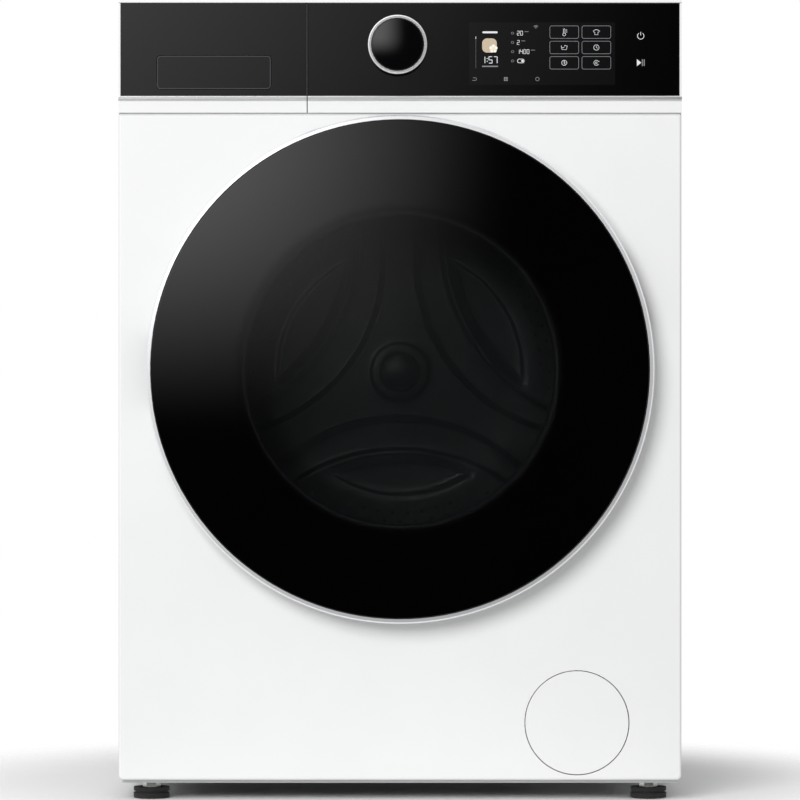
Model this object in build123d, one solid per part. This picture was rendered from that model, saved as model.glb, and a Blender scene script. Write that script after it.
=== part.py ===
from build123d import *
import math
import os

# Front load washing machine, millimetres. +Z is up, the front faces -Y, the floor is z = 0 and
# the origin is under the middle of the whole machine.

# Overall size
WIDTH = 595.0
DEPTH = 610.0
HEIGHT = 845.0
HALF_WIDTH = WIDTH / 2
FRONT_Y = -DEPTH / 2
BACK_Y = DEPTH / 2

# Cabinet
SHEET = 1.2
PANEL_Y = -270.0
PANEL_DEPTH = 18.0
PANEL_BOTTOM = 20.8
PANEL_TOP = 725.0
REAR_Y = 288.0
WORKTOP_FRONT_Y = -275.0
WORKTOP_THICKNESS = 20.0
TOP_RAIL = 3.0
WORKTOP_UNDER = HEIGHT - WORKTOP_THICKNESS
SIDE_FRONT_Y = -251.5
BASE_BOTTOM = 17.0
BASE_TOP = 42.0
FOOT_X = 264.5
FOOT_FRONT_Y = -232.0
FOOT_REAR_Y = 252.0
STEM_RADIUS = 5.0
RUN_CLEARANCE = 0.05

# Control panel and drawer front
SEAM_X = -98.0
SEAM_GAP = 0.5
GLASS_FRONT_Y = -276.0
GLASS_THICKNESS = 4.0
GLASS_BACK_Y = GLASS_FRONT_Y + GLASS_THICKNESS
GLASS_LOW = 743.5
GLASS_HIGH = 841.4
GLASS_SIDE = 295.0
TRIM_LOW = 739.0
STRIP_LOW = 725.8
STRIP_FRONT_Y = -274.0
FASCIA_BACK_Y = -252.5
KNOB_X = -2.6
KNOB_Z = 796.3
KNOB_RADIUS = 31.0
KNOB_FRONT_Y = -297.0
KNOB_CAP_RADIUS = 28.0
KNOB_FLOOR_Y = -280.0
KNOB_SHAFT_RADIUS = 5.0
DISPLAY = (73.0, 227.0, 755.0, 821.0)
FLAP_X = -196.4
FLAP_Z = 768.2
FLAP_WIDTH = 120.0
FLAP_HEIGHT = 35.0
FLAP_RADIUS = 4.0
FLAP_GAP = 0.7
FLAP_AXIS_Y = -270.6
FLAP_AXIS_Z = FLAP_Z + FLAP_HEIGHT / 2 - 2.0

# Detergent drawer
TRAY_LEFT = -286.0
TRAY_RIGHT = -106.0
TRAY_FRONT_Y = -252.5
TRAY_BACK_Y = -22.0
TRAY_LOW = 750.0
TRAY_HIGH = 802.0
TRAY_WALL = 2.0

# Door
DOOR_Z = 454.8
DOOR_RADIUS = 267.5
DOOR_GLASS_RADIUS = 262.3
DOOR_EDGE_Y = -298.5
DOOR_BACK_Y = -274.0
FRAME_FRONT_Y = -292.0
FRAME_WALL = 2.5
HINGE_X = -254.0
HINGE_Y = -289.0
HINGE_PIN_RADIUS = 2.5
HINGE_EYE_RADIUS = 4.5
HINGE_REACH = 24.0
ARM_NEAR = 20.0
ARM_FAR = 34.0
LATCH_X = 236.0
LATCH_Y = -284.0
PORT_RADIUS = 195.0

# Filter flap and pump
FILTER_X = 187.0
FILTER_Z = 81.4
FILTER_RADIUS = 54.6
FILTER_HOLE_RADIUS = 55.5
FILTER_AXIS_X = FILTER_X - 73.0
FILTER_AXIS_Y = -265.0
FILTER_SKIN = 2.0

# Tub and drum
TUB_RADIUS = 272.5
TUB_WALL = 4.0
TUB_FRONT_Y = -192.0
TUB_SPLIT_Y = -20.0
TUB_BACK_Y = 171.0
NECK_RADIUS = 187.0
NECK_FRONT_Y = -214.0
DRUM_RADIUS = 250.0
DRUM_SHEET = 1.2
DRUM_BACK_Y = 148.0
DRUM_FRONT_Y = -176.0
MOUTH_RADIUS = 165.0
SHAFT_RADIUS = 15.0
PULLEY_RADIUS = 145.0
PULLEY_FRONT_Y = 205.0
PULLEY_WIDTH = 14.0
MOTOR_Z = 112.0
MOTOR_RADIUS = 52.0
MOTOR_PULLEY_RADIUS = 11.0
MOTOR_SHAFT_RADIUS = 8.0
BELT_GAP = 0.4
BELT_THICKNESS = 3.0
LIFTER_ANGLES = (30.0, 150.0, 270.0)
ARM_ANGLES = (90.0, 210.0, 330.0)

# Suspension
SPRING_X = 235.0
SPRING_Y = 30.0
SPRING_LOW = 640.0
SPRING_HIGH = 812.0
DAMPER_X = 215.0
DAMPER_YS = (5.0, 130.0)
DAMPER_RADIUS = 14.0
DAMPER_ROD_RADIUS = 5.0

# Rear connections
INLET_X = -205.0
INLET_Z = 778.0
INLET_RADIUS = 13.2
OUTLET_X = 205.0
OUTLET_Z = 640.0
OUTLET_RADIUS = 9.5
GLAND_X = 150.0
GLAND_Z = 778.0
GLAND_BORE = 4.2
TRANSIT_X = 120.0
TRANSIT_Z_LOW = 330.0
TRANSIT_Z_HIGH = 560.0
TRANSIT_RADIUS = 10.0


def block(x0, x1, y0, y1, z0, z1):
    """Box between two corners."""
    middle = Pos((x0 + x1) / 2, (y0 + y1) / 2, (z0 + z1) / 2)
    return middle * Box(x1 - x0, y1 - y0, z1 - z0)


def rod_x(x0, x1, y, z, radius):
    """Cylinder along X."""
    return Pos((x0 + x1) / 2, y, z) * Rot(0, 90, 0) * Cylinder(radius, x1 - x0)


def rod_y(x, z, radius, y0, y1):
    """Cylinder along Y."""
    return Pos(x, (y0 + y1) / 2, z) * Rot(90, 0, 0) * Cylinder(radius, y1 - y0)


def rod_z(x, y, radius, z0, z1):
    """Cylinder along Z."""
    return Pos(x, y, (z0 + z1) / 2) * Cylinder(radius, z1 - z0)


def tube_y(x, z, outer, inner, y0, y1):
    """Tube along Y."""
    return rod_y(x, z, outer, y0, y1) - rod_y(x, z, inner, y0 - 1, y1 + 1)


def turned(points):
    """Solid turned about the door and drum axis from (radius, y) points."""
    profile = make_face(Polyline(*[(r, y, 0) for r, y in points], close=True))
    return Pos(0, 0, DOOR_Z) * revolve(profile, Axis.Y)


def plate_xz(shape, y0, y1):
    """Sketch drawn in (x, z) made into a plate between y0 and y1."""
    return Pos(0, y1, 0) * Rot(90, 0, 0) * extrude(shape, amount=y1 - y0)


def polar(radius, angle):
    """Point in x and z around the door and drum axis."""
    turn = math.radians(angle)
    return radius * math.cos(turn), DOOR_Z + radius * math.sin(turn)


def join(pieces):
    """Union of a list of solids."""
    whole = pieces[0]
    for piece in pieces[1:]:
        whole = whole + piece
    return whole


def save(name, shape):
    shape.label = name
    export_step(shape, "parts/" + name + ".step")


# ---------------------------------------------------------------- cabinet


def front_panel():
    left = -HALF_WIDTH
    right = HALF_WIDTH
    back = PANEL_Y + PANEL_DEPTH
    outer = block(left, right, PANEL_Y, back, PANEL_BOTTOM, PANEL_TOP)
    lower_corners = outer.edges().filter_by(Axis.Y).group_by(Axis.Z)[0]
    outer = fillet(lower_corners, 5)
    outer = fillet(outer.faces().sort_by(Axis.Y)[0].edges(), 3)
    inner = block(left + SHEET, right - SHEET, PANEL_Y + SHEET, back + 1,
                  PANEL_BOTTOM + SHEET, PANEL_TOP - SHEET)
    inner = fillet(inner.edges().filter_by(Axis.Y).group_by(Axis.Z)[0], 4)
    pan = outer - inner
    pan = pan - rod_y(0, DOOR_Z, PORT_RADIUS, PANEL_Y - 1, back)
    pan = pan + tube_y(0, DOOR_Z, PORT_RADIUS + SHEET, PORT_RADIUS, PANEL_Y, PANEL_Y + 16)
    pan = pan - block(226, 258, PANEL_Y - 1, back, DOOR_Z - 14, DOOR_Z + 14)
    pan = pan - rod_y(FILTER_X, FILTER_Z, FILTER_HOLE_RADIUS, PANEL_Y - 1, back)
    for z in (FILTER_Z - 8, FILTER_Z + 8):
        ear = block(FILTER_AXIS_X - 4, FILTER_AXIS_X + 4, PANEL_Y + SHEET, -261.5, z - 1.2, z + 1.2)
        pan = pan + (ear - rod_z(FILTER_AXIS_X, FILTER_AXIS_Y, 1.5 + RUN_CLEARANCE, z - 2, z + 2))
    return pan


def side_panel(side):
    x_out = HALF_WIDTH
    x_in = HALF_WIDTH - SHEET
    top = WORKTOP_UNDER
    skin = block(x_in, x_out, SIDE_FRONT_Y, REAR_Y, PANEL_BOTTOM, top)
    front_lip = block(x_in - 16, x_in, SIDE_FRONT_Y, SIDE_FRONT_Y + SHEET,
                      PANEL_BOTTOM + SHEET, PANEL_TOP - 1)
    rear_lip = block(x_in - 20, x_in, REAR_Y - 3 * SHEET, REAR_Y - 2 * SHEET, 46, top)
    bottom_lip = block(x_in - 16, x_in, SIDE_FRONT_Y, REAR_Y - 4, PANEL_BOTTOM, PANEL_BOTTOM + SHEET)
    panel = skin + front_lip + rear_lip + bottom_lip
    for z in (150, 400, 650):
        bead = block(x_in - 1.5, x_in, -200, 240, z - 12, z + 12)
        panel = panel + bead
    if side < 0:
        panel = mirror(panel, about=Plane.YZ)
    return panel


def rear_panel():
    half = HALF_WIDTH - SHEET - 0.2
    y_in = REAR_Y - SHEET
    sheet = block(-half, half, y_in, REAR_Y, 24, WORKTOP_UNDER - 0.5)
    dome = tube_y(0, DOOR_Z, 190, 188.8, REAR_Y - 0.2, REAR_Y + 6)
    cap = rod_y(0, DOOR_Z, 190, REAR_Y + 4.8, REAR_Y + 6)
    sheet = sheet - rod_y(0, DOOR_Z, 188.8, y_in - 1, REAR_Y + 1) + dome + cap
    for x in (-TRANSIT_X, TRANSIT_X):
        for z in (TRANSIT_Z_LOW, TRANSIT_Z_HIGH):
            sheet = sheet - rod_y(x, z, TRANSIT_RADIUS, y_in - 1, REAR_Y + 8)
    sheet = sheet - rod_y(INLET_X, INLET_Z, INLET_RADIUS + 2, y_in - 1, REAR_Y + 1)
    sheet = sheet - rod_y(OUTLET_X, OUTLET_Z, OUTLET_RADIUS + 2.5, y_in - 1, REAR_Y + 1)
    sheet = sheet - rod_y(GLAND_X, GLAND_Z, 9, y_in - 1, REAR_Y + 1)
    for x, z in screw_places():
        sheet = sheet - rod_y(x, z, 2.2, y_in - 1, REAR_Y + 1)
    return sheet


def screw_places():
    """Rear panel screws: two columns and a pair near the middle of the top."""
    places = [(side * 286, z) for side in (-1, 1) for z in (70, 240, 410, 580, 750)]
    return places + [(-60, 812), (60, 812)]


def cabinet_screws():
    screws = []
    for x, z in screw_places():
        head = rod_y(x, z, 4.2, REAR_Y, REAR_Y + 2.4)
        slot = block(x - 0.6, x + 0.6, REAR_Y + 1.2, REAR_Y + 3, z - 3, z + 3)
        cross = block(x - 3, x + 3, REAR_Y + 1.2, REAR_Y + 3, z - 0.6, z + 0.6)
        shank = rod_y(x, z, 1.8, REAR_Y - 2.2, REAR_Y + 0.5)
        screws.append(head - slot - cross + shank)
    return Compound(children=screws)


def worktop():
    top = block(-HALF_WIDTH, HALF_WIDTH, WORKTOP_FRONT_Y, REAR_Y, WORKTOP_UNDER, HEIGHT)
    top = fillet(top.edges().filter_by(Axis.Y).group_by(Axis.Z)[-1], 3)
    step_y = SIDE_FRONT_Y + 1
    top = top - block(-300, 300, WORKTOP_FRONT_Y - 1, step_y, WORKTOP_UNDER - 1, HEIGHT - TOP_RAIL)
    upper_front = top.edges().filter_by(Axis.X).group_by(Axis.Y)[0].sort_by(Axis.Z)[-1]
    return fillet(upper_front, 1.2)


def base_frame():
    half = HALF_WIDTH - 3
    front = -258.0
    back = 284.0
    sole = block(-half, half, front, back, BASE_BOTTOM, PANEL_BOTTOM)
    window = block(-half + 62, half - 62, front + 62, back - 62, BASE_BOTTOM - 1, PANEL_BOTTOM + 1)
    rim = block(-266, 266, -238, 262, PANEL_BOTTOM, BASE_TOP)
    rim = rim - block(-260, 260, -232, 256, PANEL_BOTTOM - 1, BASE_TOP + 1)
    frame = sole - window + rim
    for y in (-60, 100):
        frame = frame + block(-260, 260, y - 8, y + 8, BASE_BOTTOM, BASE_TOP - 8)
    frame = frame + block(150, 224, -234, -60, BASE_TOP - 8, BASE_TOP)
    for x in (-DAMPER_X, DAMPER_X):
        for y in DAMPER_YS:
            frame = frame + rod_z(x, y, 20, BASE_BOTTOM, BASE_TOP - 4)
    for x, y in foot_places():
        frame = frame + rod_z(x, y, 13, BASE_BOTTOM, 58)
        frame = frame - rod_z(x, y, STEM_RADIUS + RUN_CLEARANCE, BASE_BOTTOM - 1, 60)
    return frame


def foot_places():
    return [(x, y) for y in (FOOT_FRONT_Y, FOOT_REAR_Y) for x in (-FOOT_X, FOOT_X)]


def foot(x, y):
    pad = rod_z(x, y, 19.2, 0, 5) + rod_z(x, y, 17.6, 5, 7) + rod_z(x, y, 19.0, 7, 11)
    hexagon = Pos(x, y, 11) * extrude(RegularPolygon(16.5 / math.sqrt(3), 6), amount=6)
    stem = rod_z(x, y, STEM_RADIUS, 17, 60)
    return pad + hexagon + stem


def cross_braces():
    bars = []
    for y0, y1 in ((-247, -227), (15, 45)):
        half = HALF_WIDTH - SHEET - 0.3
        bar = block(-half, half, y0, y1, SPRING_HIGH, WORKTOP_UNDER - 1)
        bar = bar - block(-half - 1, half + 1, y0 + 1.5, y1 - 1.5, SPRING_HIGH + 1.5, WORKTOP_UNDER)
        bars.append(bar)
    return Compound(children=bars)


# ---------------------------------------------------------------- control panel


def fascia_shell(x0, x1, rim_x0, rim_x1):
    """White carrier behind the glass: lower strip, back wall and outer rims."""
    strip = block(x0, x1, STRIP_FRONT_Y, FASCIA_BACK_Y, STRIP_LOW, TRIM_LOW)
    strip = strip - block(x0 + 2, x1 - 2, STRIP_FRONT_Y + 2.5, FASCIA_BACK_Y + 1,
                          STRIP_LOW + 2, TRIM_LOW - 2)
    wall = block(x0, x1, GLASS_BACK_Y, GLASS_BACK_Y + 3, TRIM_LOW, GLASS_HIGH)
    top = block(x0, x1, GLASS_BACK_Y, FASCIA_BACK_Y, GLASS_HIGH - 2.5, GLASS_HIGH)
    floor = block(x0, x1, GLASS_BACK_Y, FASCIA_BACK_Y, TRIM_LOW, TRIM_LOW + 2)
    ends = block(x0, x0 + 2.3, GLASS_BACK_Y, FASCIA_BACK_Y, TRIM_LOW, GLASS_HIGH)
    ends = ends + block(x1 - 2.3, x1, GLASS_BACK_Y, FASCIA_BACK_Y, TRIM_LOW, GLASS_HIGH)
    rim = block(rim_x0, rim_x1, GLASS_FRONT_Y + 1, FASCIA_BACK_Y, GLASS_LOW, GLASS_HIGH)
    return strip + wall + top + floor + ends + rim


def control_fascia():
    x0 = SEAM_X + SEAM_GAP
    x1 = HALF_WIDTH
    shell = fascia_shell(x0, x1, GLASS_SIDE + 0.1, x1)
    shell = shell - rod_y(KNOB_X, KNOB_Z, 8, GLASS_FRONT_Y, FASCIA_BACK_Y)
    left, right, low, high = DISPLAY
    shell = shell - block(left - 1, right + 1, GLASS_BACK_Y - 1, GLASS_BACK_Y + 4, low - 1, high + 1)
    return shell


def control_glass():
    glass = block(SEAM_X + SEAM_GAP, GLASS_SIDE, GLASS_FRONT_Y, GLASS_BACK_Y, GLASS_LOW, GLASS_HIGH)
    glass = chamfer(glass.faces().sort_by(Axis.Y)[0].edges(), 0.6)
    return glass - rod_y(KNOB_X, KNOB_Z, 9, GLASS_FRONT_Y - 1, GLASS_BACK_Y + 1)


def trim_bar(x0, x1):
    bar = block(x0, x1, GLASS_FRONT_Y - 0.8, GLASS_BACK_Y, TRIM_LOW, GLASS_LOW)
    return fillet(bar.faces().sort_by(Axis.Y)[0].edges().filter_by(Axis.X), 1)


def display_module():
    left, right, low, high = DISPLAY
    case = block(left, right, GLASS_BACK_Y + 0.2, GLASS_BACK_Y + 9, low, high)
    return fillet(case.edges().filter_by(Axis.Y), 1.5)


def control_board():
    board = block(55, 285, -262.6, -261, 746, 834)
    parts = [board]
    for i in range(3):
        x = 90 + 55 * i
        parts.append(block(x, x + 28, -261, -254, 755, 775))
    parts.append(rod_y(250, 800, 8, -261, -253))
    parts.append(block(90, 150, -261, -255, 790, 815))
    return join(parts)


def knob_cap():
    """Black cap with the shaft that runs back through the glass."""
    cap = rod_y(KNOB_X, KNOB_Z, KNOB_CAP_RADIUS, KNOB_FRONT_Y, KNOB_FLOOR_Y)
    cap = fillet(cap.faces().sort_by(Axis.Y)[0].edges(), 1.2)
    return cap + rod_y(KNOB_X, KNOB_Z, KNOB_SHAFT_RADIUS, KNOB_FLOOR_Y, -262)


def knob_ring():
    ring = rod_y(KNOB_X, KNOB_Z, KNOB_RADIUS, KNOB_FRONT_Y + 1, GLASS_FRONT_Y - 1)
    ring = chamfer(ring.faces().sort_by(Axis.Y)[0].edges(), 1.2)
    bore = rod_y(KNOB_X, KNOB_Z, KNOB_CAP_RADIUS, KNOB_FRONT_Y - 1, KNOB_FLOOR_Y)
    hub = rod_y(KNOB_X, KNOB_Z, KNOB_SHAFT_RADIUS, KNOB_FLOOR_Y - 1, GLASS_FRONT_Y)
    return ring - bore - hub


# ---------------------------------------------------------------- detergent drawer


def flap_outline(grow):
    outline = RectangleRounded(FLAP_WIDTH + grow, FLAP_HEIGHT + grow, FLAP_RADIUS + grow / 2)
    return Pos(FLAP_X, FLAP_Z) * outline


def drawer_front():
    x0 = -HALF_WIDTH + 0.2
    x1 = SEAM_X - SEAM_GAP
    shell = fascia_shell(x0, x1, x0, -GLASS_SIDE - 0.1)
    shell = shell - plate_xz(flap_outline(2 * FLAP_GAP), GLASS_FRONT_Y, GLASS_BACK_Y + 4)
    half = FLAP_WIDTH / 2
    for side in (-1, 1):
        x = FLAP_X + side * (half + 4)
        cheek = block(x - 2, x + 2, GLASS_BACK_Y, FASCIA_BACK_Y, 746, 792)
        shell = shell + cheek
        shell = shell - rod_x(x - 5, x + 5, FLAP_AXIS_Y, FLAP_AXIS_Z, 1.2 + RUN_CLEARANCE)
    back = block(FLAP_X - half - 6, FLAP_X + half + 6, -255, FASCIA_BACK_Y, 746, 792)
    roof = block(FLAP_X - half - 6, FLAP_X + half + 6, GLASS_BACK_Y, -255, 790, 792)
    return shell + back + roof


def drawer_glass():
    x1 = SEAM_X - SEAM_GAP
    glass = block(-GLASS_SIDE, x1, GLASS_FRONT_Y, GLASS_BACK_Y, GLASS_LOW, GLASS_HIGH)
    glass = chamfer(glass.faces().sort_by(Axis.Y)[0].edges(), 0.6)
    return glass - plate_xz(flap_outline(2 * FLAP_GAP), GLASS_FRONT_Y - 1, GLASS_BACK_Y + 1)


def drawer_grip_flap():
    face = plate_xz(flap_outline(0), GLASS_FRONT_Y, GLASS_FRONT_Y + 3)
    half = FLAP_WIDTH / 2
    lugs = []
    for side in (-1, 1):
        x = FLAP_X + side * (half - 4)
        lugs.append(block(x - 2, x + 2, GLASS_FRONT_Y + 2, -269, FLAP_AXIS_Z - 3, FLAP_AXIS_Z + 1.5))
    pin = rod_x(FLAP_X - half - 4.5, FLAP_X + half + 4.5, FLAP_AXIS_Y, FLAP_AXIS_Z, 1.2)
    return face + join(lugs) + pin


def drawer_tray():
    tray = block(TRAY_LEFT, TRAY_RIGHT, TRAY_FRONT_Y, TRAY_BACK_Y, TRAY_LOW, TRAY_HIGH)
    first = TRAY_LEFT + 62
    second = TRAY_LEFT + 124
    bays = ((TRAY_LEFT, first), (first - TRAY_WALL, second), (second - TRAY_WALL, TRAY_RIGHT))
    for x0, x1 in bays:
        pocket = block(x0 + TRAY_WALL, x1 - TRAY_WALL, TRAY_FRONT_Y + TRAY_WALL, TRAY_BACK_Y - TRAY_WALL,
                       TRAY_LOW + TRAY_WALL, TRAY_HIGH + 1)
        tray = tray - fillet(pocket.edges().group_by(Axis.Z)[0], 4)
    return tray


def siphon_cap():
    x = (TRAY_LEFT + 124 + TRAY_RIGHT) / 2 - 1
    y = TRAY_BACK_Y - 22
    low = TRAY_LOW + TRAY_WALL + 0.1
    stem = rod_z(x, y, 7, low, TRAY_HIGH - 6)
    deck = block(x - 24, x + 24, y - 16, y + 16, TRAY_HIGH - 8, TRAY_HIGH - 5)
    return stem + deck


def dispenser_housing():
    x0 = TRAY_LEFT - 5
    x1 = TRAY_RIGHT + 5
    outer = block(x0, x1, -250, 2, TRAY_LOW - 8, 809)
    inner = block(x0 + 2.5, x1 - 2.5, -251, -1, TRAY_LOW - 5, 806)
    housing = outer - inner
    x_mid = (x0 + x1) / 2
    spout = rod_z(x_mid, -60, 16, TRAY_LOW - 16, TRAY_LOW - 6)
    return housing + spout - rod_z(x_mid, -60, 13, TRAY_LOW - 20, TRAY_LOW - 4)


# ---------------------------------------------------------------- door


def ball(radius, front):
    """Ball on the door axis whose foremost point is at y = front."""
    return Pos(0, front + radius, DOOR_Z) * Rot(90, 0, 0) * Sphere(radius)


def door_outer_glass():
    sag = DOOR_EDGE_Y - FRONT_Y
    radius = (DOOR_GLASS_RADIUS ** 2 + sag ** 2) / (2 * sag)
    blank = rod_y(0, DOOR_Z, DOOR_GLASS_RADIUS, FRONT_Y - 2, DOOR_EDGE_Y + 8)
    dome = blank & ball(radius, FRONT_Y)
    return dome - ball(radius, FRONT_Y + 4)


def hinge_pocket(front):
    """Room for the fixed hinge arms as the door turns round them."""
    swept = rod_z(HINGE_X, HINGE_Y, HINGE_REACH, DOOR_Z - ARM_FAR - 3, DOOR_Z + ARM_FAR + 3)
    return swept - block(-300, -200, -320, front, 300, 600)


def grip_pocket():
    """Finger recess behind the right edge of the door."""
    return block(226, 275, -289, -270, DOOR_Z + 45, DOOR_Z + 125)


def door_trim_ring():
    ring = turned([
        (262.5, -300.6), (265.8, -299.8), (DOOR_RADIUS, -295.5), (266.2, -284), (262, -274.5),
        (259.6, -274.5), (263.6, -285), (264.6, -294.2), (262.5, -294.4),
    ])
    return ring - hinge_pocket(-296.4) - grip_pocket()


def door_frame():
    body = turned([
        (189, FRAME_FRONT_Y), (189, DOOR_BACK_Y - FRAME_WALL), (257, DOOR_BACK_Y - FRAME_WALL),
        (260.5, -286), (260.5, FRAME_FRONT_Y), (262.9, FRAME_FRONT_Y), (262.9, -285.2),
        (259.2, DOOR_BACK_Y - 0.6), (257, DOOR_BACK_Y), (178, DOOR_BACK_Y), (175, -276),
        (175, -278.9), (186, -278.9), (186, FRAME_FRONT_Y),
    ])
    body = body - hinge_pocket(-295)
    body = body - grip_pocket()
    liner = block(224, 257.5, -291, DOOR_BACK_Y, DOOR_Z + 43, DOOR_Z + 127)
    liner = liner & rod_y(0, DOOR_Z, 259, -300, -270)
    body = body + (liner - grip_pocket())
    for z in (DOOR_Z - 42, DOOR_Z + 42):
        for x in (-222, -206):
            body = body + rod_y(x, z, 4.5, -289.5, DOOR_BACK_Y - 1)
    body = body - block(229, 249, -280, -270, DOOR_Z - 12, DOOR_Z + 12)
    for side in (-1, 1):
        z = DOOR_Z + side * 12.5
        ear = block(LATCH_X - 6, LATCH_X + 6, -289, DOOR_BACK_Y - 1, z - 1.8, z + 1.8)
        body = body + ear
        body = body - rod_z(LATCH_X, LATCH_Y, 2 + RUN_CLEARANCE, z - 3, z + 3)
    for x, z in door_screw_places():
        body = body - rod_y(x, z, 2, -280, -270)
    return body


def door_screw_places():
    return [polar(222, angle) for angle in (50, 90, 130, 155, 205, 230, 270, 310, 340)]


def door_screws():
    screws = []
    for x, z in door_screw_places():
        head = rod_y(x, z, 3.6, DOOR_BACK_Y, DOOR_BACK_Y + 1.6)
        slot = block(x - 0.5, x + 0.5, DOOR_BACK_Y + 0.7, DOOR_BACK_Y + 3, z - 2.4, z + 2.4)
        cross = block(x - 2.4, x + 2.4, DOOR_BACK_Y + 0.7, DOOR_BACK_Y + 3, z - 0.5, z + 0.5)
        screws.append(head - slot - cross + rod_y(x, z, 1.7, DOOR_BACK_Y - 8, DOOR_BACK_Y + 0.3))
    return Compound(children=screws)


def door_glass_bowl():
    return turned([
        (185.5, -283), (185.5, -279), (174.5, -279), (173, -276), (168, -262), (152, -178),
        (147, -168), (138, -160.5), (126, -157), (0, -155), (0, -160), (124, -162), (134, -165),
        (142.5, -171), (147, -180), (163, -264), (167, -277), (169, -283),
    ])


def hinge_arm(z0, z1):
    arm = Polyline(
        (-257.6, -286.2), (-250.4, -291.7), (-238, PANEL_Y - 2.2), (-246, PANEL_Y - 2.2), close=True)
    solid = Pos(0, 0, z0) * extrude(make_face(arm), amount=z1 - z0)
    solid = solid + rod_z(HINGE_X, HINGE_Y, HINGE_EYE_RADIUS, z0, z1)
    return solid - rod_z(HINGE_X, HINGE_Y, HINGE_PIN_RADIUS + RUN_CLEARANCE, z0 - 1, z1 + 1)


def door_hinge_plate():
    plate = block(-246.5, -206, PANEL_Y - 2.2, PANEL_Y, DOOR_Z - 60, DOOR_Z + 60)
    plate = fillet(plate.edges().filter_by(Axis.Y), 4)
    plate = plate + hinge_arm(DOOR_Z + ARM_NEAR, DOOR_Z + ARM_FAR)
    plate = plate + hinge_arm(DOOR_Z - ARM_FAR, DOOR_Z - ARM_NEAR)
    for z in (-46, 0, 46):
        plate = plate - rod_y(-220, DOOR_Z + z, 2.6, -280, -260)
    return plate


def door_hinge_leaf():
    barrel = rod_z(HINGE_X, HINGE_Y, HINGE_EYE_RADIUS, DOOR_Z - ARM_NEAR + 0.4, DOOR_Z + ARM_NEAR - 0.4)
    pin = rod_z(HINGE_X, HINGE_Y, HINGE_PIN_RADIUS, DOOR_Z - ARM_FAR - 1, DOOR_Z + ARM_FAR + 1)
    tongue = block(HINGE_X, -226, FRAME_FRONT_Y, -289.5, DOOR_Z - 19, DOOR_Z + 19)
    plate = block(-228, -196, FRAME_FRONT_Y, -289.5, DOOR_Z - 54, DOOR_Z + 54)
    return barrel + pin + tongue + plate


def latch_hook():
    outline = Polyline(
        (231, -288), (240, -288), (240, -262), (246, -258), (241, -249), (233, -251), (231, -262),
        close=True)
    hook = Pos(0, 0, DOOR_Z - 8) * extrude(make_face(outline), amount=16)
    return hook + rod_z(LATCH_X, LATCH_Y, 2, DOOR_Z - 14, DOOR_Z + 14)


def door_lock():
    case = block(220, 264, PANEL_Y + SHEET, -230, DOOR_Z - 50, DOOR_Z + 50)
    slot = block(225, 259, PANEL_Y, -243, DOOR_Z - 15, DOOR_Z + 15)
    lugs = block(208, 220, PANEL_Y + SHEET, -264, DOOR_Z - 38, DOOR_Z + 38)
    return case + lugs - slot


def door_seal():
    return turned([
        (194.6, -269), (194.6, -262), (188, -256), (188, -252), (194.6, -250), (199, -250),
        (199, -238), (192, -236), (192, -206), (187.4, -206), (187.4, -239), (190, -241.5),
        (195.5, -241.5), (195.5, -247), (184, -248), (184, -258), (174, -262), (174, -265), (187, -269),
    ])


# ---------------------------------------------------------------- filter and pump


def strap(points, thickness, z0, z1):
    """Flat strap bent through (x, y) points, standing between z0 and z1."""
    pieces = []
    for (xa, ya), (xb, yb) in zip(points, points[1:]):
        length = math.hypot(xb - xa, yb - ya)
        heading = math.degrees(math.atan2(yb - ya, xb - xa))
        place = Pos((xa + xb) / 2, (ya + yb) / 2, (z0 + z1) / 2) * Rot(0, 0, heading)
        pieces.append(place * Box(length, thickness, z1 - z0))
        pieces.append(rod_z(xa, ya, thickness / 2, z0, z1))
    return join(pieces)


def filter_flap():
    """Round flush flap on a gooseneck arm that reaches round the edge of its hole."""
    disc = rod_y(FILTER_X, FILTER_Z, FILTER_RADIUS, PANEL_Y, PANEL_Y + FILTER_SKIN)
    disc = chamfer(disc.faces().sort_by(Axis.Y)[0].edges(), 0.4)
    x = FILTER_AXIS_X
    y = FILTER_AXIS_Y
    neck = [(x, y), (x, y + 22), (x + 12, y + 22), (x + 26, PANEL_Y + FILTER_SKIN)]
    arm = strap(neck, 3, FILTER_Z - 5.5, FILTER_Z + 5.5)
    arm = arm - block(x, x + 60, PANEL_Y - 5, PANEL_Y + FILTER_SKIN, FILTER_Z - 8, FILTER_Z + 8)
    skin_back = PANEL_Y + FILTER_SKIN
    foot_pad = block(x + 22, x + 40, skin_back, skin_back + 1.5, FILTER_Z - 9, FILTER_Z + 9)
    pin = rod_z(x, y, 1.5, FILTER_Z - 9.4, FILTER_Z + 9.4)
    eye = rod_z(x, y, 2.6, FILTER_Z - 5.5, FILTER_Z + 5.5)
    catch = block(FILTER_X + 44, FILTER_X + 48, PANEL_Y + 1, -264, FILTER_Z - 5, FILTER_Z + 5)
    return disc + arm + foot_pad + pin + eye + catch


def pump_filter_plug():
    flange = rod_y(FILTER_X, FILTER_Z, 33, -260, -256.4)
    body = rod_y(FILTER_X, FILTER_Z, 25, -257, -196)
    body = body - rod_y(FILTER_X, FILTER_Z, 22, -248, -190)
    grip = block(FILTER_X - 27, FILTER_X + 27, -266, -259, FILTER_Z - 4, FILTER_Z + 4)
    return flange + body + grip


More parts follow.
